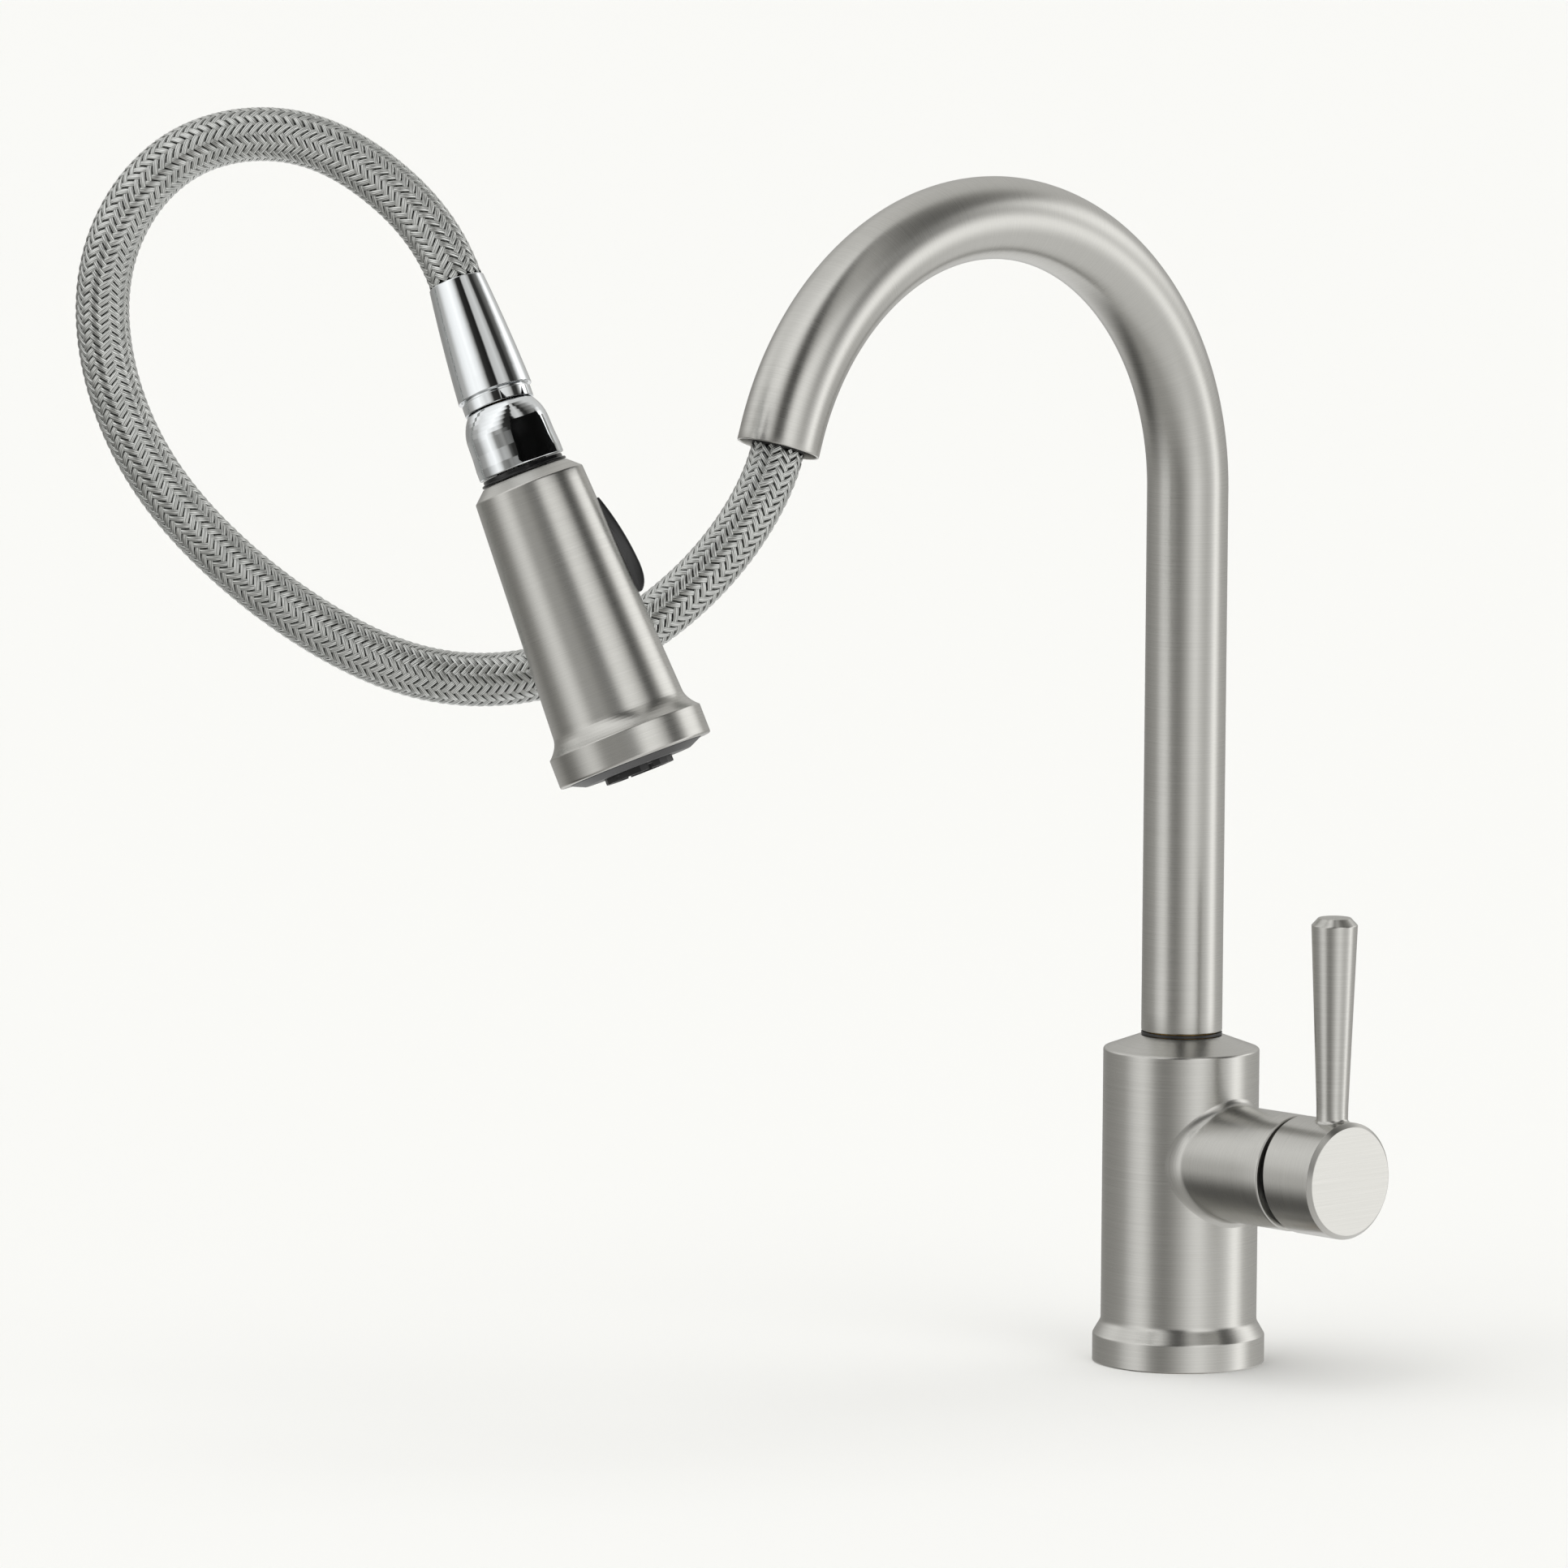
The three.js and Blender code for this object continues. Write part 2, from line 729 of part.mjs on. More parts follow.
// A domed cap centred on the pivot closes the end of the stub round the tilting stem.
function domeCap() {
  const inner = dome.radius - dome.wall;
  const rise = valve.stubEnd - stem.pivot;
  const outerFrom = Math.asin(dome.hole / dome.radius);
  const outerTo = Math.acos(rise / dome.radius);
  const innerFrom = Math.asin(dome.hole / inner);
  const innerTo = Math.acos((rise - dome.flange) / inner);
  return turnedAlongX([
    ...arc(inner, innerFrom, innerTo, 4, stem.pivot),
    [valve.bore - GAP, valve.stubEnd - dome.flange],
    [valve.bore - GAP, valve.stubEnd],
    ...arc(dome.radius, outerTo, outerFrom, 4, stem.pivot),
  ]);
}
piece(valveGroup, "dome_cap", "steel", domeCap());

// -------------------------------------------------------------------------------------------------- handle

const stemPinHole = moved(rodAlongY(stem.pin + GAP, stem.half + 1, 16), stem.pivot, 0, 0);
const stemBar = join(
  rodAlongX(stem.tip, stem.tipEnd, stem.squareStart + 1, 16),
  box([stem.squareStart, -stem.half, -stem.half], [stem.squareEnd, stem.half, stem.half]),
  rodAlongX(stem.round, stem.squareEnd - 1, stem.end, 16),
);
piece(valveGroup, "cartridge_stem", "brass", cut(stemBar, stemPinHole));

function handleHub() {
  const start = valve.stubEnd - 2;
  const shell = turnedAlongX([
    [0, start],
    [hub.radius, start],
    [hub.radius, hub.end - hub.chamfer],
    [hub.radius - hub.chamfer, hub.end],
    [0, hub.end],
  ]);
  // The rear face leans, so the gap to the stub is widest below.
  const lean = Math.atan((hub.bottomGap - hub.topGap) / (2 * hub.radius));
  const size = 4 * hub.radius;
  const behind = solid(new THREE.BoxGeometry(size, size, size).translate(-size / 2, 0, 0).rotateY(-lean));
  const middleGap = (hub.topGap + hub.bottomGap) / 2;
  const rear = moved(behind, valve.stubEnd + middleGap, 0, 0);
  const cavity = rodAlongX(hub.cavity, start - 1, hub.cavityEnd, BIG);
  const socket = rodAlongX(stem.round + GAP, hub.cavityEnd - 1, stem.end + GAP, 16);
  const screwHole = moved(rod(setScrew.radius + GAP, -hub.radius - 1, 0, 12), setScrew.x, 0, 0);
  const studEnd = hub.radius - lever.depth;
  const studHole = moved(rod(lever.stud + GAP, studEnd - GAP, hub.radius + 1, 16), lever.x, 0, 0);
  return cut(shell, rear, cavity, socket, screwHole, studHole);
}
piece(valveGroup, "handle_hub", "nickel", handleHub());

const screwBottom = -hub.radius + setScrew.sunk;
const screwTop = -stem.round - GAP;
const setScrewSolid = moved(rod(setScrew.radius, screwBottom, screwTop, 12), setScrew.x, 0, 0);
piece(valveGroup, "handle_set_screw", "steel", setScrewSolid);

function handleLever() {
  const top = lever.top - valve.height;
  const shaft = turned([
    [0, 0],
    [lever.baseRadius, 0],
    [lever.baseRadius, hub.radius],
    [lever.topRadius, top - lever.chamfer],
    [lever.tipRadius, top],
    [0, top],
  ]);
  const seatCut = rodAlongX(hub.radius + GAP, -hub.radius, hub.radius, 2 * BIG);
  const stud = rod(lever.stud, hub.radius - lever.depth, hub.radius + 3, 16);
  return moved(join(cut(shaft, seatCut), stud), lever.x, 0, 0);
}
piece(valveGroup, "handle_lever", "nickel", handleLever());

// --------------------------------------------------------------------------------------------------- spout

const ringBottom = bodyTop + spout.ringGap;
const ringTop = ringBottom + spout.ringThickness;
const tubeFoot = ringTop + GAP;
const glideInner = spigot.radius + GAP;
piece(faucet, "spout_glide_ring", "black", ring(glideInner, spout.radius, ringBottom, ringTop));
const spoutLine = new SpoutLine(tubeFoot);
piece(faucet, "spout_tube", "nickel", along(spoutLine, spout.radius, SPOUT_BORE, 20, spoutLine.steps));

const ringGroove = { from: spigot.bottom + spigot.ringGroove, height: spigot.ringGrooveHeight };
const grooveRadius = spigot.radius - spigot.grooveDepth;

piece(
  faucet,
  "spout_spigot",
  "brass",
  turned([
    [spigot.bore, spigot.bottom],
    [spigot.radius, spigot.bottom],
    [spigot.radius, ringGroove.from],
    [grooveRadius, ringGroove.from],
    [grooveRadius, ringGroove.from + ringGroove.height],
    [spigot.radius, ringGroove.from + ringGroove.height],
    [spigot.radius, oRing.z - oRing.groove / 2],
    [grooveRadius, oRing.z - oRing.groove / 2],
    [grooveRadius, oRing.z + oRing.groove / 2],
    [spigot.radius, oRing.z + oRing.groove / 2],
    [spigot.radius, spigot.top],
    [spigot.bore, spigot.top],
  ]),
);
const oRingMiddle = grooveRadius + GAP + oRing.minor;
const oRingOutline = arc(oRing.minor, 0, -2 * Math.PI, 7, oRing.z).slice(1);
piece(faucet, "spout_o_ring", "rubber", turned(oRingOutline.map(([r, z]) => [r + oRingMiddle, z]), SMALL));

const bushingInner = spigot.radius + GAP;
const upperBushing = ring(bushingInner, bushingRadius, oRing.z + bushing.ringRoom, bushingTop);
piece(faucet, "spout_upper_bushing", "acetal", upperBushing);
const flangeRadius = bushingRadius + bushing.flange;
const bushingFlangeTop = body.capUnder - GAP;
const bushingFlangeBottom = bushingFlangeTop - bushing.flangeThickness;
piece(
  faucet,
  "spout_lower_bushing",
  "acetal",
  turned([
    [bushingInner, bushingFlangeBottom],
    [flangeRadius, bushingFlangeBottom],
    [flangeRadius, bushingFlangeTop],
    [bushingRadius, bushingFlangeTop],
    [bushingRadius, oRing.z - bushing.ringRoom],
    [bushingInner, oRing.z - bushing.ringRoom],
  ]),
);

// The open ring that keeps the spout from lifting out.
function retainingRing() {
  const inner = grooveRadius + GAP;
  const outer = bushingRadius;
  const open = 0.35;
  const shape = new THREE.Shape();
  shape.absarc(0, 0, outer, open, 2 * Math.PI - open, false);
  shape.absarc(0, 0, inner, 2 * Math.PI - open, open, true);
  const thickness = ringGroove.height - 2 * GAP;
  const options = { depth: thickness, bevelEnabled: false, curveSegments: 20 };
  const plate = new THREE.ExtrudeGeometry(shape, options);
  return moved(solid(plate), 0, 0, ringGroove.from + GAP);
}
piece(faucet, "retaining_ring", "steel", retainingRing());

const guideEnds = [guide.first, guide.last].map((step) => (step + 1) / spoutLine.steps);
const guideLine = new Stretch(spoutLine, ...guideEnds);
const guideSteps = guide.last - guide.first;
piece(faucet, "hose_guide", "acetal", along(guideLine, guide.radius, guide.bore, 20, guideSteps));

// ---------------------------------------------------------------------------------------------------- hose

// Inside the spout the hose follows its centre line, and inside the body it moves over to clear the tubes.
const hoseSplit = bodyTop;
const innerLine = new SpoutLine(hoseSplit, GAP);
piece(faucet, "hose_in_spout", "braid", along(innerLine, hose.radius, 0, hose.sides, innerLine.steps));

function hoseInBody() {
  const line = downThrough(
    [new THREE.Vector3(0, 0, hoseSplit - GAP), new THREE.Vector3(0, 0, spigot.bottom)],
    [new THREE.Vector3(hose.offset, 0, base.floor + 2), new THREE.Vector3(hose.offset, 0, hose.bottom)],
  );
  return along(line, hose.radius, 0, hose.sides, 16);
}
piece(faucet, "hose_in_body", "braid", hoseInBody());

const connectorTop = hose.bottom - GAP;
const connectorStep = connectorTop - connector.height;
const connectorEnd = connectorStep - connector.spigotLength;
const connectorNut = ring(connector.bore, hose.radius + connector.proud, connectorStep, connectorTop);
const connectorSpigot = ring(connector.bore, connector.spigot, connectorEnd, connectorStep + 1);
piece(
  faucet,
  "hose_connector",
  "brass",
  moved(join(connectorNut, connectorSpigot), hose.offset, 0, 0),
);

// Groups whose Z axis runs up the cone and up the wand, with their origin at the ball's centre.
function jointGroup(heading, lean, turn) {
  const group = new THREE.Group();
  group.position.copy(joint.ball);
  group.rotation.set(0, -lean, heading, "ZYX");
  const inner = new THREE.Group();
  inner.rotation.z = turn;
  group.add(inner);
  faucet.add(group);
  return inner;
}
const coneGroup = jointGroup(joint.coneHeading, joint.coneLean, 0);
const wandGroup = jointGroup(joint.wandHeading, joint.wandLean, joint.buttonTurn);
faucet.updateMatrixWorld(true);

// The free hose leaves straight out of the spout and arrives straight down the cone.
function freeHose() {
  const outlet = spoutLine.getPoint(1);
  const leave = outlet.clone().addScaledVector(spoutLine.getTangent(1), hose.outletLead);
  const mouth = new THREE.Vector3(0, 0, cone.top + GAP).applyMatrix4(coneGroup.matrixWorld);
  const arrive = new THREE.Vector3(0, 0, cone.top + hose.coneLead).applyMatrix4(coneGroup.matrixWorld);
  const middle = HOSE_POINTS.map((p) => new THREE.Vector3(...p));
  return along(guided([outlet, leave, ...middle, arrive, mouth]), hose.radius, 0, hose.sides, hose.steps);
}
piece(faucet, "pull_hose", "braid", freeHose());

// The cone steers the hose end back into the spout. Its neck is hollow below, to slide over the bell's
// dome.
const hollow = bell.dome + GAP;
piece(
  coneGroup,
  "docking_cone",
  "chrome",
  turned([
    ...arc(hollow, Math.asin(cone.bore / hollow), Math.asin(cone.neckRadius / hollow), 4),
    [cone.neckRadius, cone.base - cone.groove],
    [cone.grooveRadius, cone.base - cone.groove],
    [cone.grooveRadius, cone.base],
    [cone.baseRadius, cone.base],
    [cone.middleRadius, cone.middle],
    [cone.topRadius, cone.top],
    [cone.bore, cone.top],
  ]),
);

function stemAndBall() {
  const end = cone.top - ballStem.sunk;
  const shaft = join(rod(ballStem.neck, 0, end), rod(cone.bore - GAP, ballStem.step, end));
  const ball = solid(new THREE.SphereGeometry(joint.ballRadius, SMALL, 12).rotateX(Math.PI / 2));
  const bore = rod(ballStem.bore, -joint.ballRadius - 1, cone.top, 12);
  return cut(join(shaft, ball), bore);
}
piece(coneGroup, "ball_stem", "brass", stemAndBall());

// ---------------------------------------------------------------------------------------------------- wand

piece(
  wandGroup,
  "ball_seat",
  "acetal",
  turned([...arc(seat.inner, seat.from, seat.to, 5), ...arc(seat.outer, seat.to, seat.from, 5)], SMALL),
);

const bellOutline = [
  [bell.socket, bell.bottom],
  [bell.radius, bell.bottom],
  ...arc(bell.dome, Math.PI / 2, Math.acos(bell.top / bell.dome), 5),
  [bell.opening, bell.top],
  ...arc(bell.socket, Math.asin(bell.opening / bell.socket), Math.PI / 2, 5),
];
piece(wandGroup, "bell_nut", "chrome", turned(bellOutline));

const collarTop = bell.bottom - GAP;
const collarBottom = collarTop - collar.height;
const shellTop = collarBottom - GAP;
piece(
  wandGroup,
  "wand_collar",
  "black",
  turned([
    [wand.inlet + GAP, collarBottom],
    [collar.radius, collarBottom],
    [collar.radius, collarTop - collar.step],
    [collar.stepRadius, collarTop - collar.step],
    [collar.stepRadius, collarTop],
    [wand.inlet + GAP, collarTop],
  ]),
);

const shellBottom = shellTop - wand.length;
const flangeTop = shellBottom + wand.flange;
const taperBottom = flangeTop + wand.flare;

function wandShell() {
  const taperTop = shellTop - wand.chamfer;
  const shell = turned([
    [wand.mouth, shellBottom],
    [wand.flangeRadius, shellBottom],
    [wand.flangeRadius, flangeTop],
    [wand.lowRadius, taperBottom],
    [wand.chamferRadius, taperTop],
    [wand.topRadius, shellTop],
    [wand.inlet + GAP, shellTop],
    [wand.inlet + GAP, shellTop - wand.wall],
    [wand.topRadius - wand.wall, shellTop - wand.wall],
    [wand.chamferRadius - wand.wall, taperTop - wand.wall],
    [wand.lowRadius - wand.wall, shellBottom + wand.mouthDepth + 3],
    [wand.lowRadius - wand.wall, shellBottom + wand.mouthDepth],
    [wand.mouth, shellBottom + wand.mouthDepth],
  ]);
  const slot = box(
    [button.pivotX, -button.half - GAP, button.to - button.clearance],
    [wand.flangeRadius, button.half + GAP, button.from + button.clearance],
  );
  return cut(shell, slot);
}
piece(wandGroup, "wand_shell", "nickel", wandShell());

const inletTop = -joint.ballRadius - 0.8;
const footBottom = shellBottom + wand.mouthDepth + GAP;
const footTop = footBottom + waterway.footThickness;
const earInner = button.half + waterway.earGap;
const earOuter = earInner + waterway.ear;

// The moulded core carries the water, and its two ears hold the button's pin.
function wandWaterway() {
  const core = turned([
    [0, footBottom],
    [waterway.foot, footBottom],
    [waterway.foot, footTop],
    [waterway.radius, footTop],
    [waterway.radius, shellTop - wand.wall - waterway.shoulderGap],
    [wand.inlet, shellTop - wand.wall - waterway.shoulderGap],
    [wand.inlet, inletTop],
    [0, inletTop],
  ]);
  const ears = [-1, 1].map((side) => {
    const near = side * earInner;
    const far = side * earOuter;
    const half = waterway.earHalfHeight;
    const low = [waterway.radius / 2, Math.min(near, far), button.pivotZ - half];
    const high = [button.pivotX + waterway.earReach, Math.max(near, far), button.pivotZ + half];
    return box(low, high);
  });
  const pinHole = moved(rodAlongY(button.pin + GAP, earOuter + 1, 16), button.pivotX, 0, button.pivotZ);
  const inlet = rod(waterway.inletBore, waterway.chamberTop - 1, inletTop + 1, 16);
  const chamber = rod(waterway.chamber, footBottom - 1, waterway.chamberTop, 20);
  const spoolBore = moved(rodAlongX(spool.radius + GAP, 0, waterway.radius + 1, 16), 0, 0, spool.z);
  return cut(join(core, ...ears), pinHole, inlet, chamber, spoolBore);
}
piece(wandGroup, "wand_waterway", "acetal", wandWaterway());

const sealReach = joint.ballRadius + GAP + seal.minor;
const sealHeight = -Math.sqrt(sealReach ** 2 - seal.major ** 2);
const sealOutline = arc(seal.minor, 0, -2 * Math.PI, 7, sealHeight).slice(1);
piece(wandGroup, "ball_seal", "rubber", turned(sealOutline.map(([r, z]) => [r + seal.major, z]), SMALL));

const checkTop = inletTop - checkValve.below;
const checkOuter = waterway.inletBore - GAP;
const checkBody = ring(checkValve.bore, checkOuter, checkTop - checkValve.length, checkTop, 16);
piece(wandGroup, "check_valve", "acetal", checkBody);

// The rocker is a wedge with its lower end raised, on a boss round the pin.
function rockerButton() {
  const outline = new THREE.Shape();
  outline.moveTo(button.inner, button.to);
  outline.lineTo(button.lowest, button.to);
  outline.quadraticCurveTo(button.widest, button.to + 2, button.widest - 0.2, button.to + 8);
  outline.quadraticCurveTo(button.widest - 1, button.to + 20, button.highest, button.from);
  outline.lineTo(button.inner, button.from);
  const width = 2 * button.half;
  const plate = new THREE.ExtrudeGeometry(outline, { depth: width, bevelEnabled: false, curveSegments: 6 });
  // The outline is drawn with its height along Y, which this turns to Z.
  const wedge = moved(solid(plate.rotateX(Math.PI / 2)), 0, button.half, 0);
  const boss = moved(rodAlongY(button.boss, button.half, 20), button.pivotX, 0, button.pivotZ);
  const hole = moved(rodAlongY(button.pin + GAP, button.half + 1, 16), button.pivotX, 0, button.pivotZ);
  return cut(join(wedge, boss), hole);
}
piece(wandGroup, "rocker_button", "black", rockerButton());
const buttonPin = moved(rodAlongY(button.pin, earOuter, 16), button.pivotX, 0, button.pivotZ);
piece(wandGroup, "button_pin", "steel", buttonPin);

const spoolShaft = rodAlongX(spool.radius, spool.from, spool.to - 1, 16);
const spoolHead = rodAlongX(spool.head, waterway.radius + spool.clear, spool.to, 16);
piece(wandGroup, "diverter_spool", "acetal", moved(join(spoolShaft, spoolHead), 0, 0, spool.z));

const matTop = footBottom - GAP;
const matBottom = matTop - mat.thickness;
piece(wandGroup, "nozzle_mat", "silicone", ring(mat.inner, mat.outer, matBottom, matTop));
piece(
  wandGroup,
  "spray_face",
  "black",
  turned([
    [face.bore, shellBottom - face.proud],
    [face.lowRadius, shellBottom - face.proud],
    [face.radius, shellBottom],
    [face.radius, matBottom - GAP],
    [face.bore, matBottom - GAP],
  ]),
);

function aeratorHousing() {
  const bottom = shellBottom - aerator.proud;
  const wall = ring(aerator.radius - aerator.wall, aerator.radius, bottom, matTop);
  const notches = Array.from({ length: aerator.notches }, (_, i) => {
    const angle = (2 * Math.PI * (i + 0.5)) / aerator.notches;
    const slot = new THREE.BoxGeometry(2 * aerator.wall + 1, aerator.notch, 2 * aerator.notch);
    return solid(slot.translate(aerator.radius, 0, bottom).rotateZ(angle));
  });
  return cut(wall, ...notches);
}
piece(wandGroup, "aerator_housing", "black", aeratorHousing());
const screenRadius = aerator.radius - aerator.wall - GAP;
const screenTop = shellBottom - aerator.screenDepth;
piece(wandGroup, "aerator_screen", "steel", rod(screenRadius, screenTop - aerator.screen, screenTop));

export default faucet;
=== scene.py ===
# %% [markdown]
# # A pull-down kitchen faucet, piece by piece
#
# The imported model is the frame: it says where every piece is and which body it moves with. This notebook
# puts the finished surfaces over it. Lengths are worked out in millimetres, because that is how such a
# fitting is drawn, and turned to Blender's metres in one place.

# %% The frame
import json

import bpy
import numpy as np
from mathutils import Matrix


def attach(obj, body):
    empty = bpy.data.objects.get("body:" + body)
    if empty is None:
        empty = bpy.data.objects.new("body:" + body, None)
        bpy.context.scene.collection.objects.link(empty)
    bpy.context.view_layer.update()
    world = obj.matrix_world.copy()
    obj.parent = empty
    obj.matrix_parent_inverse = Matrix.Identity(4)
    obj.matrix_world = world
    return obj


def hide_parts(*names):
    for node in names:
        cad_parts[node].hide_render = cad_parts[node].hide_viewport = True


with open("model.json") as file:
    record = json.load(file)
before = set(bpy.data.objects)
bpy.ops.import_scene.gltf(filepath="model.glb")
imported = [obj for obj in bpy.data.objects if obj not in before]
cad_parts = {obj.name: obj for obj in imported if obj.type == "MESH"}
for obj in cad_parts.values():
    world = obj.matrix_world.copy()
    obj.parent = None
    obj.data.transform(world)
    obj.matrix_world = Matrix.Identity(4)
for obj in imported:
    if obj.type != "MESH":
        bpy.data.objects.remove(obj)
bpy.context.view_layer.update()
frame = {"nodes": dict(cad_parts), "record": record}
MM = 0.001

# %% [markdown]
# ## The camera
#
# A product picture of a tall faucet is taken from far away with a long lens, so that verticals stay
# vertical and the near and far sides look the same size. The camera is a point on a line of sight: it is
# placed by the direction it looks from, its distance, and the point it looks at.

# %% Camera
HEADING, RISE, ROLL = np.radians([46.90, 6.778, -0.428])
DISTANCE = 3940.2
SENSOR, FOCAL = 36, 289.05
ASIDE, MIDDLE_HEIGHT = 125.304, 181.579  # the point looked at: how far left of the column, and how high
TARGET = np.array([-ASIDE * np.cos(HEADING), -ASIDE * np.sin(HEADING), MIDDLE_HEIGHT])


def unit(vectors):
    """Each vector divided by its length."""
    return vectors / np.linalg.norm(vectors, axis=-1, keepdims=True)


back = np.array([np.sin(HEADING) * np.cos(RISE), -np.cos(HEADING) * np.cos(RISE), np.sin(RISE)])
level = unit(np.cross([0, 0, 1], back))
rise = np.cross(back, level)
right = np.cos(ROLL) * level - np.sin(ROLL) * rise
up = np.sin(ROLL) * level + np.cos(ROLL) * rise
turn = Matrix(np.stack([right, up, back], axis=1).tolist()).to_4x4()
lens = bpy.data.cameras.new("camera")
lens.sensor_width = SENSOR
lens.lens = FOCAL
lens.clip_start = 0.1
lens.clip_end = 60
camera = bpy.data.objects.new("camera", lens)
camera.matrix_world = Matrix.Translation(((TARGET + DISTANCE * back) * MM).tolist()) @ turn
bpy.context.scene.collection.objects.link(camera)
bpy.context.scene.camera = camera
print("camera at", [round(v, 3) for v in camera.location])

# %% [markdown]
# ## Two ways to make a surface
#
# Almost everything on a faucet is either turned on a lathe or is a tube, and both are a grid of points:
# one direction runs round the piece and the other along it. A grid becomes a mesh by naming the four
# corners of each cell. Whole arrays are used, because a loop in Python over a hundred thousand points is
# slow.

# %% A grid of points becomes a mesh
def mesh_object(name, points, corners, uv):
    """A mesh from points in millimetres. corners is a list of arrays with one row of point numbers for
    each face, and uv is a list of arrays of the same shape with a pair for each corner."""
    mesh = bpy.data.meshes.new(name)
    loops = np.concatenate([faces.ravel() for faces in corners])
    sizes = np.concatenate([np.full(len(faces), faces.shape[1]) for faces in corners])
    mesh.vertices.add(len(points))
    mesh.vertices.foreach_set("co", (points * MM).astype(np.float32).ravel())
    mesh.loops.add(len(loops))
    mesh.loops.foreach_set("vertex_index", loops.astype(np.int32))
    mesh.polygons.add(len(sizes))
    mesh.polygons.foreach_set("loop_start", (np.cumsum(sizes) - sizes).astype(np.int32))
    mesh.update(calc_edges=True)
    mesh.polygons.foreach_set("use_smooth", np.ones(len(sizes), bool))
    layer = mesh.uv_layers.new(name="UVMap")
    flat_uv = np.concatenate([u.reshape(-1, 2) for u in uv]).astype(np.float32)
    layer.uv.foreach_set("vector", flat_uv.ravel())
    mesh.validate()
    made = bpy.data.objects.new(name, mesh)
    bpy.context.scene.collection.objects.link(made)
    return made


def skin(grid, across, along, loop=False):
    """Points and faces of a grid of shape (rows, sides, 3), closed round its sides, and from its last
    row to its first if loop is true. A row whose points are all in one place is closed to a pole. across
    holds one UV number for each side and one more, and along one for each row and one more if loop is
    true."""
    rows, sides = grid.shape[:2]
    number = np.arange(rows * sides).reshape(rows, sides)
    poles = np.ptp(grid, axis=1).max(axis=1) < 1e-9
    number[poles] = number[poles][:, :1]
    number = np.concatenate([number, number[:, :1]], axis=1)
    if loop:
        number = np.concatenate([number, number[:1]])
    place = np.stack(np.broadcast_arrays(across[None, :], along[:, None]), axis=-1)
    order = [(slice(None, -1), slice(None, -1)), (slice(None, -1), slice(1, None)),
             (slice(1, None), slice(1, None)), (slice(1, None), slice(None, -1))]
    quads = np.stack([number[o] for o in order], axis=-1).reshape(-1, 4)
    uv = np.stack([place[o] for o in order], axis=-2).reshape(-1, 4, 2)
    low = quads[:, 0] == quads[:, 1]
    high = quads[:, 2] == quads[:, 3]
    full = ~(low | high)
    corners = [quads[full], quads[low][:, [0, 2, 3]], quads[high][:, [0, 1, 2]]]
    uvs = [uv[full], uv[low][:, [0, 2, 3]], uv[high][:, [0, 1, 2]]]
    used, renumbered = np.unique(np.concatenate([c.ravel() for c in corners]), return_inverse=True)
    ends = np.cumsum([c.size for c in corners])[:-1]
    corners = [part.reshape(c.shape) for part, c in zip(np.split(renumbered.ravel(), ends), corners)]
    return grid.reshape(-1, 3)[used], corners, uvs


sample = np.random.default_rng(1).random((3, 4, 3))
print("grid of 3 by 4:", len(skin(sample, np.arange(5.0), np.arange(3.0))[1][0]), "faces")

# %% [markdown]
# A turned edge is never perfectly sharp. The tool or the polishing mop leaves a small radius, and that
# radius is what catches a thin line of light, so every outline has its corners rounded before it is
# spun.

# %% Rounded outlines and turned pieces
def rounded(outline, closed, radius=0.25, steps=5):
    """An outline of (radius, height) or (radius, height, corner radius) with an arc in place of each
    corner. An arc from A to B round a corner P is ((1-t)^2 A + 2wt(1-t) P + t^2 B) / ((1-t)^2 + 2wt(1-t)
    + t^2), where w is the sine of half the corner's angle. One more point beyond each end keeps the
    flats flat when shaded."""
    points = np.array([p[:2] for p in outline], float)
    corner = np.array([p[2] if len(p) > 2 else radius for p in outline], float)
    before, after = np.roll(points, 1, axis=0) - points, np.roll(points, -1, axis=0) - points
    room = np.minimum(np.linalg.norm(before, axis=1), np.linalg.norm(after, axis=1))
    before, after = unit(before), unit(after)
    half = np.arccos(np.clip((before * after).sum(axis=1), -1, 1)) / 2
    reach = np.minimum(corner / np.maximum(np.tan(half), 1e-6), 0.42 * room)
    if not closed:
        reach[[0, -1]] = 0
    support = np.minimum(0.06 * room, 0.3)
    t = np.linspace(0, 1, steps)[None, :, None]
    w = np.sin(half)[:, None, None]
    start = (points + before * reach[:, None])[:, None]
    end = (points + after * reach[:, None])[:, None]
    weights = (1 - t) ** 2 + 2 * w * t * (1 - t) + t ** 2
    arcs = ((1 - t) ** 2 * start + 2 * w * t * (1 - t) * points[:, None] + t ** 2 * end) / weights
    leads = start + (before * support[:, None])[:, None]
    tails = end + (after * support[:, None])[:, None]
    flat = np.concatenate([leads, arcs, tails], axis=1)
    if not closed:
        keep = [arcs[0, :1], tails[0], *flat[1:-1], leads[-1], arcs[-1, :1]]
        flat = np.concatenate(keep)
    flat = flat.reshape(-1, 2)
    step = np.linalg.norm(np.diff(flat, axis=0, prepend=flat[-1:] + (0 if closed else 1)), axis=1)
    return flat[step > 1e-5]


def place(points, matrix):
    """Points moved by a 4x4 matrix."""
    return points @ matrix[:3, :3].T + matrix[:3, 3]


UPRIGHT = np.eye(4)


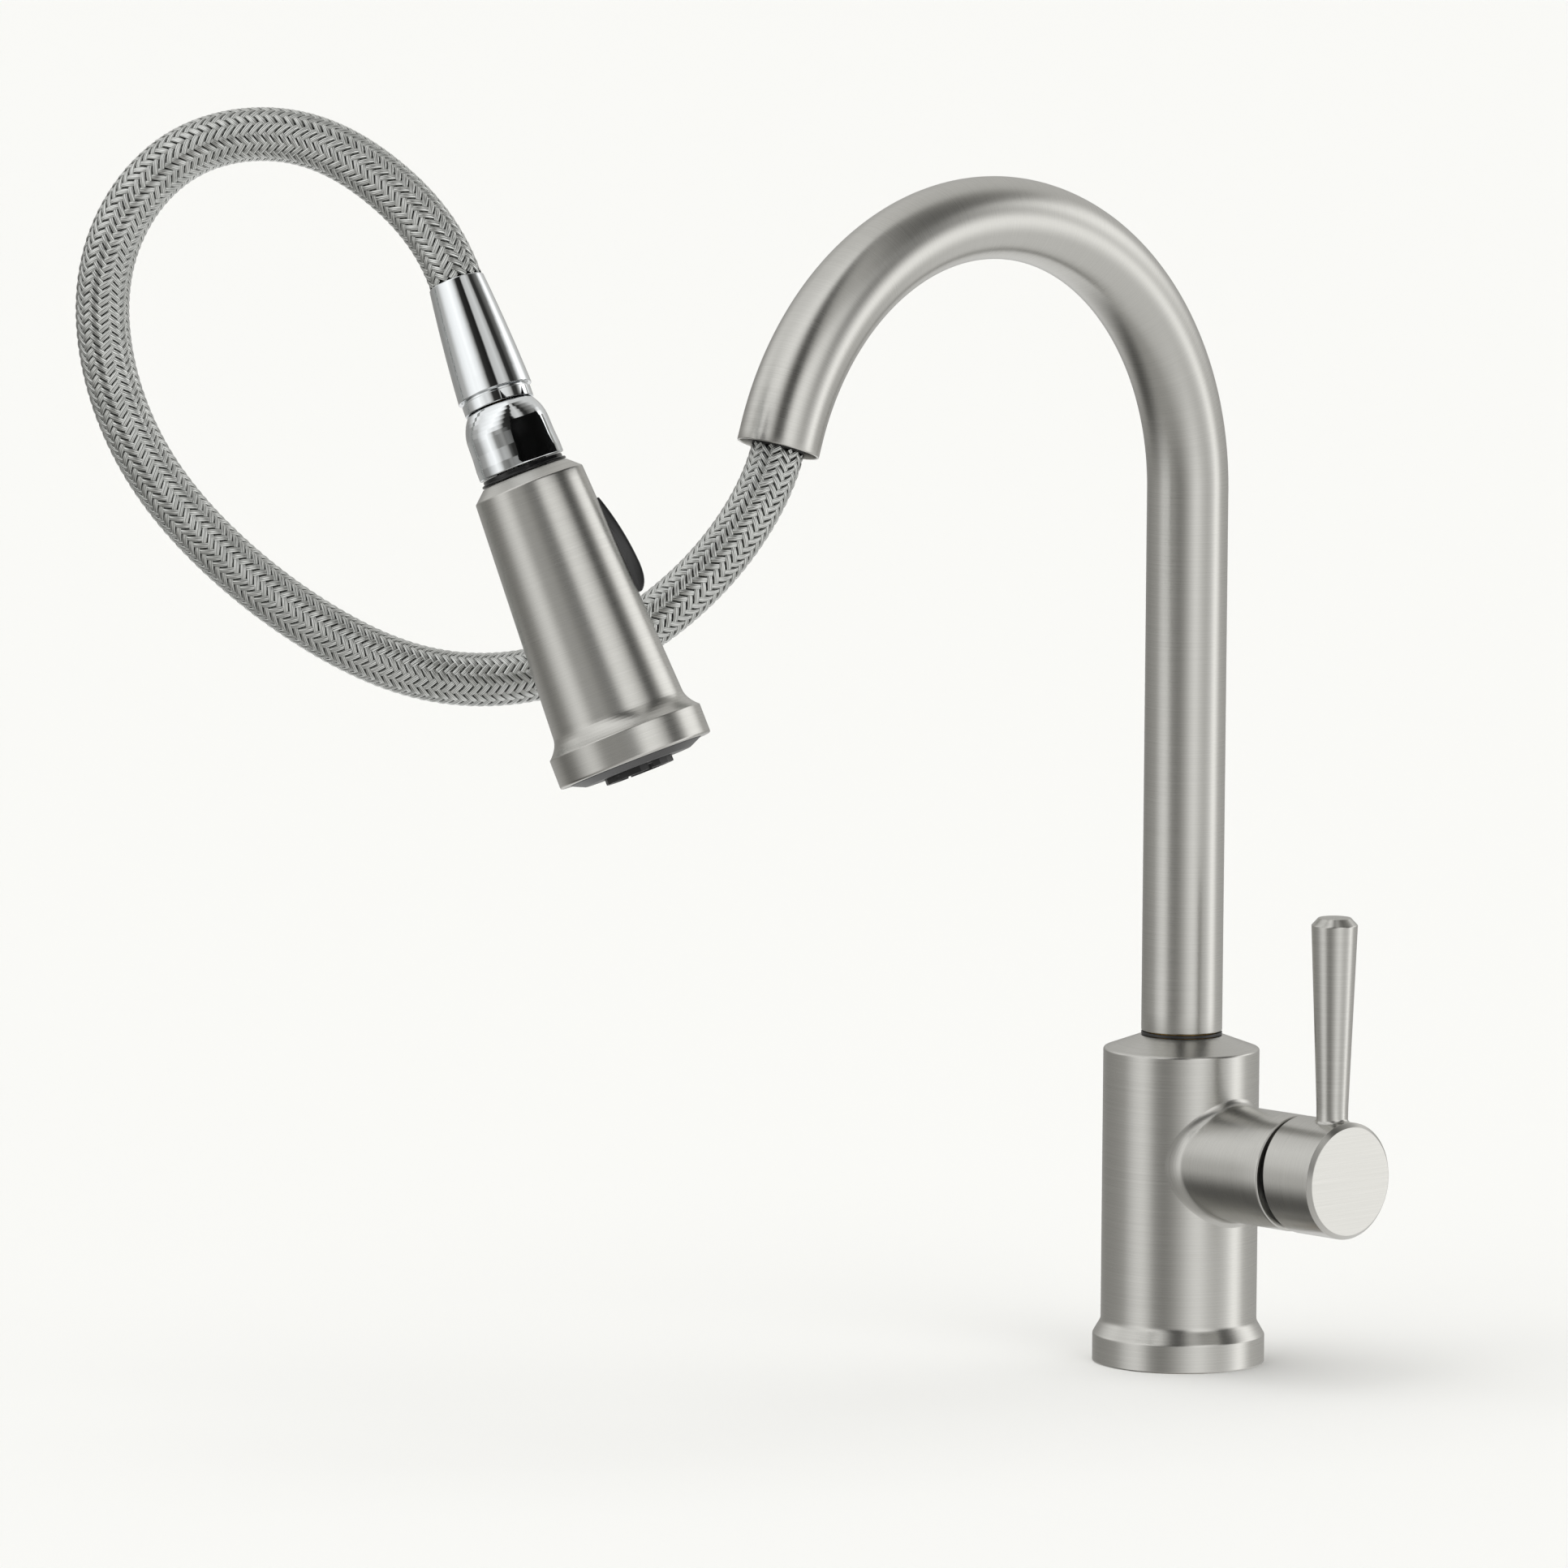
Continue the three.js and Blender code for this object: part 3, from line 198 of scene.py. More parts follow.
def spin(name, outline, matrix=UPRIGHT, sides=128, radius=0.25, steps=5):
    """A solid of revolution: the point at angle a on the outline's point (r, z) is (r cos a, r sin a,
    z). The outline runs anticlockwise, from the axis to the axis, or round on itself for a ring."""
    closed = outline[0][0] > 0 or outline[-1][0] > 0
    profile = rounded(outline, closed, radius, steps)
    angle = np.linspace(0, 2 * np.pi, sides + 1)
    r, z = profile[:, :1], profile[:, 1:]
    grid = np.stack([r * np.cos(angle), r * np.sin(angle), z + 0 * angle], axis=-1)[:, :-1]
    run = np.cumsum(np.linalg.norm(np.diff(profile, axis=0, prepend=profile[:1]), axis=1))
    if closed:
        run = np.append(run, run[-1] + np.linalg.norm(profile[0] - profile[-1]))
    across = angle * profile[:, 0].max()
    return mesh_object(name, *skin(place(grid, matrix), across, run, loop=closed))


# %% [markdown]
# A tube needs a direction across it at every point of its line. A fixed direction that the line never
# runs along is enough: what is left of it, square to the line, turns smoothly with the line.

# %% Tubes along a line
def arc_length(line):
    """Distance along a line of points, from 0."""
    return np.append(0, np.cumsum(np.linalg.norm(np.diff(line, axis=0), axis=1)))


def frames(line, fixed):
    """Direction of the line at each point, and two directions square to it and to each other."""
    forward = unit(np.gradient(line, axis=0))
    side = unit(fixed - (forward @ fixed)[:, None] * forward)
    return forward, side, np.cross(forward, side)


def tube(name, line, section, fixed, sides):
    """The point at angle a and row i is line[i] + r (side cos a + other cos a), with r from the section,
    which has one radius for each row. The flat ends are closed to a pole."""
    forward, side, other = frames(line, fixed)
    angle = np.linspace(0, 2 * np.pi, sides + 1)
    ring = side[:, None] * np.cos(angle)[None, :, None] + other[:, None] * np.sin(angle)[None, :, None]
    grid = line[:, None] + section[:, None, None] * ring
    first = np.repeat(line[:1, None], sides + 1, axis=1)
    last = np.repeat(line[-1:, None], sides + 1, axis=1)
    grid = np.concatenate([first, grid, last])
    run = arc_length(line)
    run = np.concatenate([[run[0] - section[0]], run, [run[-1] + section[-1]]])
    return mesh_object(name, *skin(grid[:, :-1], angle * section.max(), run))


print("tools ready")

# %% [markdown]
# ## The hose's route
#
# The hose comes first, because it is the one piece that isn't held in place by its neighbours. Its line
# is a clamped cubic curve: it starts and ends at its first and last points and is drawn towards the
# others, and a curve that is only drawn towards its points has no kinks. It leaves the spout straight
# and meets the cone straight, so its second and last but one points lie on those two directions.

# %% Places that the hose runs between
BALL = np.array([-21.2, -265.5, 306.4])


def turned_about(axis, degrees):
    """A 4x4 matrix that turns about one of the three axes."""
    a = np.radians(degrees)
    i, j = [(1, 2), (2, 0), (0, 1)]["xyz".index(axis)]
    matrix = np.eye(4)
    matrix[i, i] = matrix[j, j] = np.cos(a)
    matrix[j, i], matrix[i, j] = np.sin(a), -np.sin(a)
    return matrix


def shifted(x, y, z):
    """A 4x4 matrix that moves."""
    matrix = np.eye(4)
    matrix[:3, 3] = x, y, z
    return matrix


CONE = shifted(*BALL) @ turned_about("z", 8.3) @ turned_about("y", -25.3)
WAND = shifted(*BALL) @ turned_about("z", 27.3) @ turned_about("y", -23.0) @ turned_about("z", 42)
SPRING, BEND, SWEEP, TAIL, FOOT = 275.0, 89.0, np.radians(162), 5.0, 104.9


def spout_line(first, steps=150):
    """The spout's middle line: up to the spring, round the bend, and a short straight end."""
    angle = np.linspace(0, SWEEP, steps)
    bend = np.stack([0 * angle, -BEND * (1 - np.cos(angle)), SPRING + BEND * np.sin(angle)], axis=1)
    rising = np.linspace([0, 0, first], [0, 0, SPRING], 24, endpoint=False)
    leave = np.array([0, -np.sin(SWEEP), np.cos(SWEEP)])
    return np.concatenate([rising, bend, bend[-1] + leave * np.array([[TAIL / 2], [TAIL]])])


outlet_line = spout_line(FOOT)
outlet, leaving = outlet_line[-1], unit(outlet_line[-1] - outlet_line[-2])
print("outlet", outlet.round(2), "direction", leaving.round(3))

# %% The curve
CONE_TOP = 48.4


def drawn_towards(points, places, degree=3):
    """Clamped B-spline at places from 0 to 1. The basis of each degree is made from the one below, for
    every place at once: N = (u - k_i) / (k_i+d - k_i) N_i + (k_i+d+1 - u) / (k_i+d+1 - k_i+1) N_i+1."""
    count = len(points)
    knots = np.concatenate([np.zeros(degree), np.linspace(0, 1, count - degree + 1), np.ones(degree)])
    u = np.clip(places, 0, 1 - 1e-9)[:, None]
    basis = ((u >= knots[:-1]) & (u < knots[1:])).astype(float)
    for d in range(1, degree + 1):
        span = knots[d:] - knots[:-d]
        share = np.divide(1, span, out=np.zeros_like(span), where=span > 0)
        rising = (u - knots[:-d - 1]) * share[:-1] * basis[:, :-1]
        falling = (knots[d + 1:] - u) * share[1:] * basis[:, 1:]
        basis = rising + falling
    return basis @ points


def cone_point(height):
    """A point on the cone's axis, by its height over the ball."""
    return place(np.array([0, 0, height]), CONE)


HOSE = np.array([
    outlet, outlet + 11 * leaving,
    [-5, -190, 266], [-23, -209, 242], [-45, -232, 227], [-69, -258, 227], [-91, -282, 243],
    [-110, -302, 264], [-126, -319, 290], [-135, -329, 323], [-133, -331, 359], [-116, -317, 390],
    [-88, -294, 396], [-64, -278, 382],
    cone_point(CONE_TOP + 15), cone_point(CONE_TOP + 0.3),
])
hose_line = drawn_towards(HOSE, np.linspace(0, 1, 4001))


def evenly(line, count):
    """The same line with its points evenly spaced."""
    run = arc_length(line)
    at = np.linspace(0, run[-1], count)
    return np.stack([np.interp(at, run, line[:, k]) for k in range(3)], axis=1)


# %% [markdown]
# ## A node at a time
#
# A material here is a short chain of nodes. One function adds a node with its settings and its links, so
# each material reads as a list of what it does.

# %% Colours and nodes
def colour(hex_code):
    """An sRGB hex colour as the linear numbers that the shader works in."""
    value = np.array([int(hex_code[i:i + 2], 16) for i in (1, 3, 5)]) / 255
    linear = np.where(value <= 0.04045, value / 12.92, ((value + 0.055) / 1.055) ** 2.4)
    return (*linear.tolist(), 1.0)


def add(tree, kind, inputs=None, **settings):
    """Adds a node. inputs maps an input's name or number to a value, or to a (node, output) pair to
    link."""
    node = tree.nodes.new(kind)
    for key, value in settings.items():
        setattr(node, key, value)
    for key, value in (inputs or {}).items():
        if isinstance(value, tuple) and isinstance(value[0], bpy.types.Node):
            tree.links.new(value[0].outputs[value[1]], node.inputs[key])
        else:
            node.inputs[key].default_value = value
    return node


def ramp(tree, source, stops):
    """A Color Ramp whose stops are (place, sRGB hex)."""
    node = add(tree, "ShaderNodeValToRGB", {"Fac": source})
    elements = node.color_ramp.elements
    while len(elements) < len(stops):
        elements.new(0.5)
    for element, (at, code) in zip(elements, stops):
        element.position = at
        element.color = colour(code)
    return node


def finish(name, **constants):
    """A new material with a Principled shader, and its tree and shader. constants are set on the
    sockets."""
    material = bpy.data.materials.new(name)
    material.use_nodes = True
    tree = material.node_tree
    shader = tree.nodes["Principled BSDF"]
    for key, value in constants.items():
        shader.inputs[key.replace("_", " ").title().replace("Ior", "IOR")].default_value = value
    return material, tree, shader


print("nickel", [round(v, 3) for v in colour("#B4B0A8")])

# %% [markdown]
# ## Brushed nickel
#
# The body is brass, plated with nickel and then brushed with an abrasive belt while it turns. The belt
# leaves fine lines round the piece. They blur what it reflects, most of all along the piece, and break
# each highlight into short streaks. The pattern has a fine part, whose lines are about 0.08 mm across,
# and a coarser one of about 0.4 mm.

# %% Material: brushed nickel plating
def brushed_nickel():
    """Lines run along U of the UV map, which is in millimetres. The fine ones are about 25 mm long and
    the coarse ones about 80 mm."""
    material, tree, shader = finish("brushed_nickel", metallic=1.0, roughness=0.3, anisotropic=0.5,
                                    anisotropic_rotation=0.25)
    uv = add(tree, "ShaderNodeUVMap", uv_map="UVMap")
    fine_map = add(tree, "ShaderNodeMapping", {"Vector": (uv, 0), "Scale": (0.04, 12.0, 1)})
    wide_map = add(tree, "ShaderNodeMapping", {"Vector": (uv, 0), "Scale": (0.012, 2.6, 1)})
    fine = add(tree, "ShaderNodeTexNoise", {"Vector": (fine_map, 0), "Scale": 1.0, "Detail": 3.0,
                                           "Roughness": 0.6})
    wide = add(tree, "ShaderNodeTexNoise", {"Vector": (wide_map, 0), "Scale": 1.0, "Detail": 2.0,
                                           "Roughness": 0.5})
    both = add(tree, "ShaderNodeMath", {0: (fine, "Fac"), 1: (wide, "Fac")}, operation="MULTIPLY")
    shade = ramp(tree, (both, 0), [(0.12, "#BFBEBA"), (0.26, "#C5C4C0"), (0.42, "#CBCAC6")])
    tree.links.new(shade.outputs["Color"], shader.inputs["Base Color"])
    rough = add(tree, "ShaderNodeMapRange", {"Value": (fine, "Fac"), "From Min": 0.3, "From Max": 0.7,
                                            "To Min": 0.26, "To Max": 0.34})
    tree.links.new(rough.outputs[0], shader.inputs["Roughness"])
    bump = add(tree, "ShaderNodeBump", {"Height": (fine, "Fac"), "Strength": 0.08, "Distance": 0.00003})
    tree.links.new(bump.outputs[0], shader.inputs["Normal"])
    tangent = add(tree, "ShaderNodeTangent", direction_type="UV_MAP", uv_map="UVMap")
    tree.links.new(tangent.outputs[0], shader.inputs["Tangent"])
    return material


NICKEL = brushed_nickel()
print(NICKEL.name)

# %% [markdown]
# ## Bright chrome
#
# The cone and the nut of the ball joint are chromed. Chrome is a thin blue-white metal over bright
# nickel, and it is close to a mirror. A little unevenness from the mop keeps its reflections from being
# perfectly straight, and a faint haze is the oil that every hand leaves.

# %% Material: chrome plating
def chrome_plating():
    """Nearly a mirror, with a faint haze and slight waves in its surface."""
    material, tree, shader = finish("chrome_plating", metallic=1.0, roughness=0.05,
                                    base_color=colour("#E3E6E8"))
    place_of = add(tree, "ShaderNodeTexCoord")
    haze = add(tree, "ShaderNodeTexNoise", {"Vector": (place_of, "Object"), "Scale": 90.0, "Detail": 2.0})
    rough = add(tree, "ShaderNodeMapRange", {"Value": (haze, "Fac"), "From Min": 0.35, "From Max": 0.7,
                                            "To Min": 0.03, "To Max": 0.09})
    tree.links.new(rough.outputs[0], shader.inputs["Roughness"])
    waves = add(tree, "ShaderNodeTexNoise", {"Vector": (place_of, "Object"), "Scale": 160.0, "Detail": 0.0})
    bump = add(tree, "ShaderNodeBump", {"Height": (waves, "Fac"), "Strength": 0.3, "Distance": 0.00006})
    tree.links.new(bump.outputs[0], shader.inputs["Normal"])
    return material


CHROME = chrome_plating()

# %% [markdown]
# ## Moulded and cast finishes
#
# The black pieces are acetal and ABS from a polished mould, the seals are rubber, and the hidden metal
# is brass with a sawn or machined face. Each one has a grain of its own size: what is left by the mould,
# the saw or the draw bench.

# %% Materials: plastics, rubber and hidden metals
def grained(name, light, dark, grain_mm, depth_mm, rough, **constants):
    """A finish with a noise grain of the given size: it shades between two colours, and sets a little
    relief."""
    material, tree, shader = finish(name, **constants)
    place_of = add(tree, "ShaderNodeTexCoord")
    grain = add(tree, "ShaderNodeTexNoise", {"Vector": (place_of, "Object"), "Scale": 1 / (grain_mm * MM),
                                            "Detail": 4.0, "Roughness": 0.55})
    shade = ramp(tree, (grain, "Fac"), [(0.35, dark), (0.68, light)])
    tree.links.new(shade.outputs["Color"], shader.inputs["Base Color"])
    spread = add(tree, "ShaderNodeMapRange", {"Value": (grain, "Fac"), "From Min": 0.3, "From Max": 0.7,
                                             "To Min": rough[0], "To Max": rough[1]})
    tree.links.new(spread.outputs[0], shader.inputs["Roughness"])
    bump = add(tree, "ShaderNodeBump", {"Height": (grain, "Fac"), "Strength": 0.4,
                                       "Distance": depth_mm * MM})
    tree.links.new(bump.outputs[0], shader.inputs["Normal"])
    return material


GLOSS_BLACK = grained("polished_black_acetal", "#1A1A1B", "#121213", 1.6, 0.01, (0.10, 0.2), ior=1.48)
SATIN_BLACK = grained("moulded_black_abs", "#242425", "#171718", 0.35, 0.02, (0.32, 0.45), ior=1.54)
RUBBER = grained("black_nitrile_rubber", "#232323", "#161616", 0.5, 0.03, (0.6, 0.8), ior=1.52)
SILICONE = grained("grey_silicone", "#55585A", "#45484A", 0.8, 0.02, (0.45, 0.6), ior=1.41)
ACETAL = grained("natural_acetal", "#EDEBE4", "#DEDBD2", 2.0, 0.01, (0.35, 0.5), ior=1.48)
CERAMIC = grained("lapped_alumina", "#F5F2EA", "#EAE6DC", 0.6, 0.004, (0.12, 0.22), ior=1.76)
BRASS = grained("machined_brass", "#C9A663", "#AF8A49", 0.5, 0.01, (0.25, 0.42), metallic=1.0)
STEEL = grained("zinc_plated_steel", "#BDC0C2", "#9EA2A5", 0.4, 0.01, (0.25, 0.45), metallic=1.0)
COPPER = grained("drawn_copper", "#C98662", "#A9694A", 2.5, 0.01, (0.22, 0.4), metallic=1.0)
print(len(bpy.data.materials), "materials")

# %% A piece with its finish and body
def dress(piece, material, body, slot, *nodes):
    """Gives a piece its material and its place in the frame, in place of the CAD nodes named."""
    piece.data.materials.clear()
    piece.data.materials.append(material)
    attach(piece, body)
    if nodes:
        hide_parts(*nodes)
    return piece


# %% [markdown]
# ## The braid
#
# The hose is a rubber tube in a sleeve of stainless wire. Sixteen strands go round it one way and
# sixteen the other, each a flat group of wires, and each strand passes over two and under two. A strand
# is over wherever it lies in one of eight stripes along the hose, and under in the stripes between,
# which is what gives the braid its columns of V shapes. Painting that on a tube looks flat at the edges
# of the hose, so each strand is a real ribbon that rises and dips.

# %% Braided strands
HOSE_RADIUS = 8.2
STRANDS, TURN, DIP = 16, 43.0, 0.2  # strands each way, length of one turn, and rise or dip of a strand
STRAND_WIDTH, STEPS_PER_TURN = 2.0, 64
BRAID_MIDDLE, CORE_RADIUS = HOSE_RADIUS - 0.62, HOSE_RADIUS - 1.15
STRIPES, FLATTEN = 8, 1.45  # stripes where a strand is over, and how hard its wave is flattened
# A strand's section, point by point: place across it, height, and how bright its painted shade leaves it:
# full on the crest, dim at the edges and dark underneath.
SECTION_ACROSS = np.array([-1, -0.6, 0, 0.6, 1, 0.6, -0.6])
SECTION_LIFT = np.array([0, 0.26, 0.38, 0.26, 0, -0.1, -0.1])
SECTION_PAINTED_SHADE = np.array([0.15, 0.8, 1, 0.8, 0.15, 0, 0])


def braid(name, line, fixed, way):
    """All strands of one direction. Strand k at distance s is at angle a = way (2 pi s / TURN) + 2 pi k
    / STRANDS, and at radius BRAID_MIDDLE + way DIP f, where f = cos(8 a - pi / 4), flattened. A strand's
    section is a flat arch: five points on top and two below, square to the strand's own direction. A
    point attribute of painted shade is 1 on the crest of a strand and 0 where it dips under another one
    and along its edges, which the material paints dark."""
    run = arc_length(line)
    steps = int(run[-1] / TURN * STEPS_PER_TURN)
    at = np.linspace(0, run[-1], steps)
    forward, side, other = frames(line, fixed)
    centre, f, s, o = (np.stack([np.interp(at, run, v[:, k]) for k in range(3)], axis=1)
                       for v in (line, forward, side, other))
    start = 2 * np.pi * np.arange(STRANDS) / STRANDS
    u = SECTION_ACROSS * STRAND_WIDTH / 2
    slope = np.arctan2(2 * np.pi * BRAID_MIDDLE, TURN)
    # Across the strand is partly round the hose and partly along it.
    turn_by = way * u * np.cos(slope) / BRAID_MIDDLE
    ahead = -u * np.sin(slope)
    angle = way * 2 * np.pi * at[None, :] / TURN + start[:, None]
    wave = np.clip(FLATTEN * np.cos(STRIPES * angle - np.pi / 4), -1, 1)
    radius = BRAID_MIDDLE + way * DIP * wave[..., None] + SECTION_LIFT
    a = angle[..., None] + turn_by
    ring = np.cos(a)[..., None] * s[None, :, None] + np.sin(a)[..., None] * o[None, :, None]
    points = centre[None, :, None] + radius[..., None] * ring + ahead[:, None] * f[None, :, None]
    # Painted shade: how lit each point is painted, low where the strand dips under another one and along
    # its edges and underside.
    depth = (0.5 + 0.5 * way * wave[..., None]) * SECTION_PAINTED_SHADE
    parts = [skin(points[k], np.arange(8) / 4.0, at) for k in range(STRANDS)]
    counts = np.cumsum([0] + [len(p[0]) for p in parts])
    corners = [np.concatenate([p[1][j] + c for p, c in zip(parts, counts)]) for j in range(3)]
    uvs = [np.concatenate([p[2][j] for p in parts]) for j in range(3)]
    made = mesh_object(name, np.concatenate([p[0] for p in parts]), corners, uvs)
    painted_shade_layer = made.data.attributes.new("depth", "FLOAT", "POINT")
    painted_shade_layer.data.foreach_set("value", depth.astype(np.float32).ravel())
    return made


# %% Material: stainless steel braid wire
def braid_wire():
    """Four or five wires show across each strand, as ridges with painted shade in the lines between them.
    Painted shade also darkens the dips where a strand passes under another one, and its edges, by a point
    attribute."""
    material, tree, shader = finish("stainless_braid_wire", metallic=1.0, roughness=0.32)
    uv = add(tree, "ShaderNodeUVMap", uv_map="UVMap")
    stretch = add(tree, "ShaderNodeMapping", {"Vector": (uv, 0), "Scale": (4.6, 0.02, 1)})
    wires = add(tree, "ShaderNodeTexWave", {"Vector": (stretch, 0), "Scale": 0.32, "Distortion": 0.6,
                                           "Detail": 1.0}, bands_direction="X")
    mottle_map = add(tree, "ShaderNodeMapping", {"Vector": (uv, 0), "Scale": (1.2, 0.3, 1)})
    mottle = add(tree, "ShaderNodeTexNoise", {"Vector": (mottle_map, 0), "Scale": 1.0, "Detail": 2.0})
    both = add(tree, "ShaderNodeMath", {0: (wires, "Fac"), 1: (mottle, "Fac")}, operation="MULTIPLY")
    # Painted shade in the lines between the wires, times tone that varies at random from the mottle noise.
    shade = ramp(tree, (both, 0), [(0.0, "#9C9E9C"), (0.22, "#CBCDCA"), (0.5, "#E9EAE8")])
    # Painted shade: the strands' dips and edges are painted darker, by the attribute set on the strands.
    depth = add(tree, "ShaderNodeAttribute", attribute_name="depth")
    dark = ramp(tree, (depth, "Fac"), [(0.0, "#333432"), (0.12, "#A6A8A5"), (0.4, "#FFFFFF")])
    shaded = add(tree, "ShaderNodeMix", {"Factor": 1.0, 6: (shade, "Color"), 7: (dark, "Color")},
                 data_type="RGBA", blend_type="MULTIPLY")
    tree.links.new(shaded.outputs[2], shader.inputs["Base Color"])
    bump = add(tree, "ShaderNodeBump", {"Height": (wires, "Fac"), "Strength": 0.5, "Distance": 0.00012})
    tree.links.new(bump.outputs[0], shader.inputs["Normal"])
    return material


BRAID = braid_wire()

# %% The free hose
# The loop lies near one upright plane, so a level direction square to it serves for the whole line.
across_loop = unit(np.array([-0.76, 0.65, 0.0]))
hose_points = evenly(hose_line, 260)
core_radii = np.full(len(hose_points), CORE_RADIUS)
core = tube("hose_core", hose_points, core_radii, across_loop, sides=32)
dress(core, RUBBER, "spout", "braid", "pull_hose")
braids = [braid(f"braid_{word}", hose_points, across_loop, way)
          for word, way in (("left", 1), ("right", -1))]
for strand_set in braids:
    dress(strand_set, BRAID, "spout", "braid")
print("braid triangles", [sum(len(p.vertices) - 2 for p in b.data.polygons) for b in braids])

# %% [markdown]
# ## The spout
#
# The spout is a brass tube, bent on a mandrel and plated. It is one wall with an inside and an outside,
# so its outline is a closed loop that is carried along the line: outside, rim, inside, rim.

# %% Spout tube
TUBE, WALL = 12.7, 0.8


def walled_tube(name, line, outer, inner, fixed, sides=96):
    """Outside of the line's tube, then its inside taken the other way, with both rims rounded by a half
    circle."""
    forward, side, other = frames(line, fixed)
    angle = np.linspace(0, 2 * np.pi, sides + 1)
    ring = side[:, None] * np.cos(angle)[None, :, None] + other[:, None] * np.sin(angle)[None, :, None]
    middle, half = (outer + inner) / 2, (outer - inner) / 2
    t = np.linspace(np.pi / 2, -np.pi / 2, 7)[1:-1]
    end_rim = line[-1] + ring[-1][None] * (middle + half * np.sin(t))[:, None, None] \
        + forward[-1] * (half * (np.cos(t) - 1))[:, None, None]
    start_rim = line[0] + ring[0][None] * (middle - half * np.sin(t))[:, None, None] \
        - forward[0] * (half * (np.cos(t) - 1))[:, None, None]
    # The walls stop short of the rims by the rims' depth.
    trimmed = line.copy()
    trimmed[0], trimmed[-1] = line[0] + forward[0] * half, line[-1] - forward[-1] * half
    outside = trimmed[:, None] + outer * ring
    inside = (trimmed[:, None] + inner * ring)[::-1]
    grid = np.concatenate([outside, end_rim, inside, start_rim])
    run = arc_length(grid[:, 0])
    run = np.append(run, run[-1] + np.linalg.norm(grid[0, 0] - grid[-1, 0]))
    return mesh_object(name, *skin(grid[:, :-1], angle * outer, run, loop=True))


ACROSS = np.array([1.0, 0, 0])
spout = walled_tube("spout", spout_line(FOOT), TUBE, TUBE - WALL, ACROSS)
dress(spout, NICKEL, "spout", "nickel", "spout_tube")
inner_line = spout_line(103.6)
inner_radii = np.full(len(inner_line), HOSE_RADIUS - 0.2)
hidden_hose = tube("hose_inside_spout", inner_line, inner_radii, ACROSS, sides=48)
dress(hidden_hose, RUBBER, "spout", "braid", "hose_in_spout")
glide = spin("glide_ring", [(11.8, 103.7), (12.7, 103.7), (12.7, 104.6), (11.8, 104.6)], radius=0.15)
dress(glide, SATIN_BLACK, "spout", "black", "spout_glide_ring")
print("spout", len(spout.data.polygons), "faces")

# %% [markdown]
# ## The body
#
# The body is one casting with a stub on its side for the valve. It is the one shape here that isn't a
# plain spin: two round bars meet in it. Every point of the stub is sent along the stub until it meets
# the body, so the two skins share that curve, with a small fillet where the casting blends.

# %% Body and stub
BODY, BASE, STUB, AXIS = 24.5, 27.05, 18.25, 65.3
body = spin("body", [
    (20.5, 0.4), (26.0, 0.0, 0.3), (BASE, 0.0, 0.5), (BASE, 8.8, 1.2), (BODY, 13.2, 3.0),
    (BODY, 99.3, 0.8), (12.95, 103.5, 0.5), (12.0, 103.5, 0.2), (12.0, 101.5), (20.4, 84.0),
    (20.4, 12.0), (17.4, 12.0), (17.4, 0.4),
], sides=192)
dress(body, NICKEL, "base", "nickel", "body_shell")

FILLET, STUB_END, STUB_BORE = 2.6, 51.7, 15.4


def stub_grid(sides=192, rows=12):
    """The stub's skin from the body to its end. At angle a it leaves the body where x = sqrt(BODY^2 -
    (STUB sin a)^2), and the fillet's rows swing from the body's own surface to the stub's by a quarter
    circle."""
    angle = np.linspace(0, 2 * np.pi, sides + 1)
    t = np.linspace(0, np.pi / 2, rows)[:, None]
    flare = STUB + FILLET * (1 - np.sin(t))
    y, z = flare * np.sin(angle), flare * np.cos(angle)
    root = np.sqrt(np.maximum(BODY ** 2 - y ** 2, 1.0)) - 0.05
    x = root + FILLET * (1 - np.cos(t)) * np.ones_like(angle)
    flat = [(50.9, STUB), (51.35, STUB - 0.06), (51.62, STUB - 0.25), (STUB_END, STUB - 0.5),
            (STUB_END, 15.55), (51.55, 15.42), (51.2, STUB_BORE), (44.0, STUB_BORE)]
    ends = np.array([[[px] * (sides + 1), r * np.sin(angle), r * np.cos(angle)] for px, r in flat])
    skin_rows = np.stack([x, y, z], axis=-1)
    straight = np.linspace(skin_rows[-1] + [0.6, 0, 0], np.moveaxis(ends[0], 0, -1), 5)[:-1]
    # Inside the body's wall the skin turns back to where it started, which closes it.
    sunk = [np.stack([np.sqrt(BODY ** 2 - (r * np.sin(angle)) ** 2) - 2.0, r * np.sin(angle),
                      r * np.cos(angle)], axis=-1) for r in (STUB_BORE, STUB + FILLET)]
    grid = np.concatenate([skin_rows, straight, np.moveaxis(ends, 1, -1), sunk])
    grid[..., 2] += AXIS
    return grid, angle


grid, angle = stub_grid()
run = arc_length(grid[:, 0])
run = np.append(run, run[-1] + 2)
# Rows run along +X while the angle goes from +Z to +Y, so the columns are reversed to face outwards.
points, corners, uv = skin(grid[:, :-1], angle * STUB, run, loop=True)
corners = [c[:, ::-1] for c in corners]
uv = [u[:, ::-1] for u in uv]
stub = mesh_object("valve_stub", points, corners, uv)
dress(stub, NICKEL, "base", "nickel")
print("body and stub", len(body.data.polygons) + len(stub.data.polygons), "faces")

# %% [markdown]
# ## The handle
#
# The hub is a short round bar on the valve's axis and the lever is a tapered pin, a little thicker at
# its top, that stands on it. The hub's rear face leans, which leaves room for the handle to tip
# outwards. The lean is a shear: each point near the rear face moves along the axis by its own height.

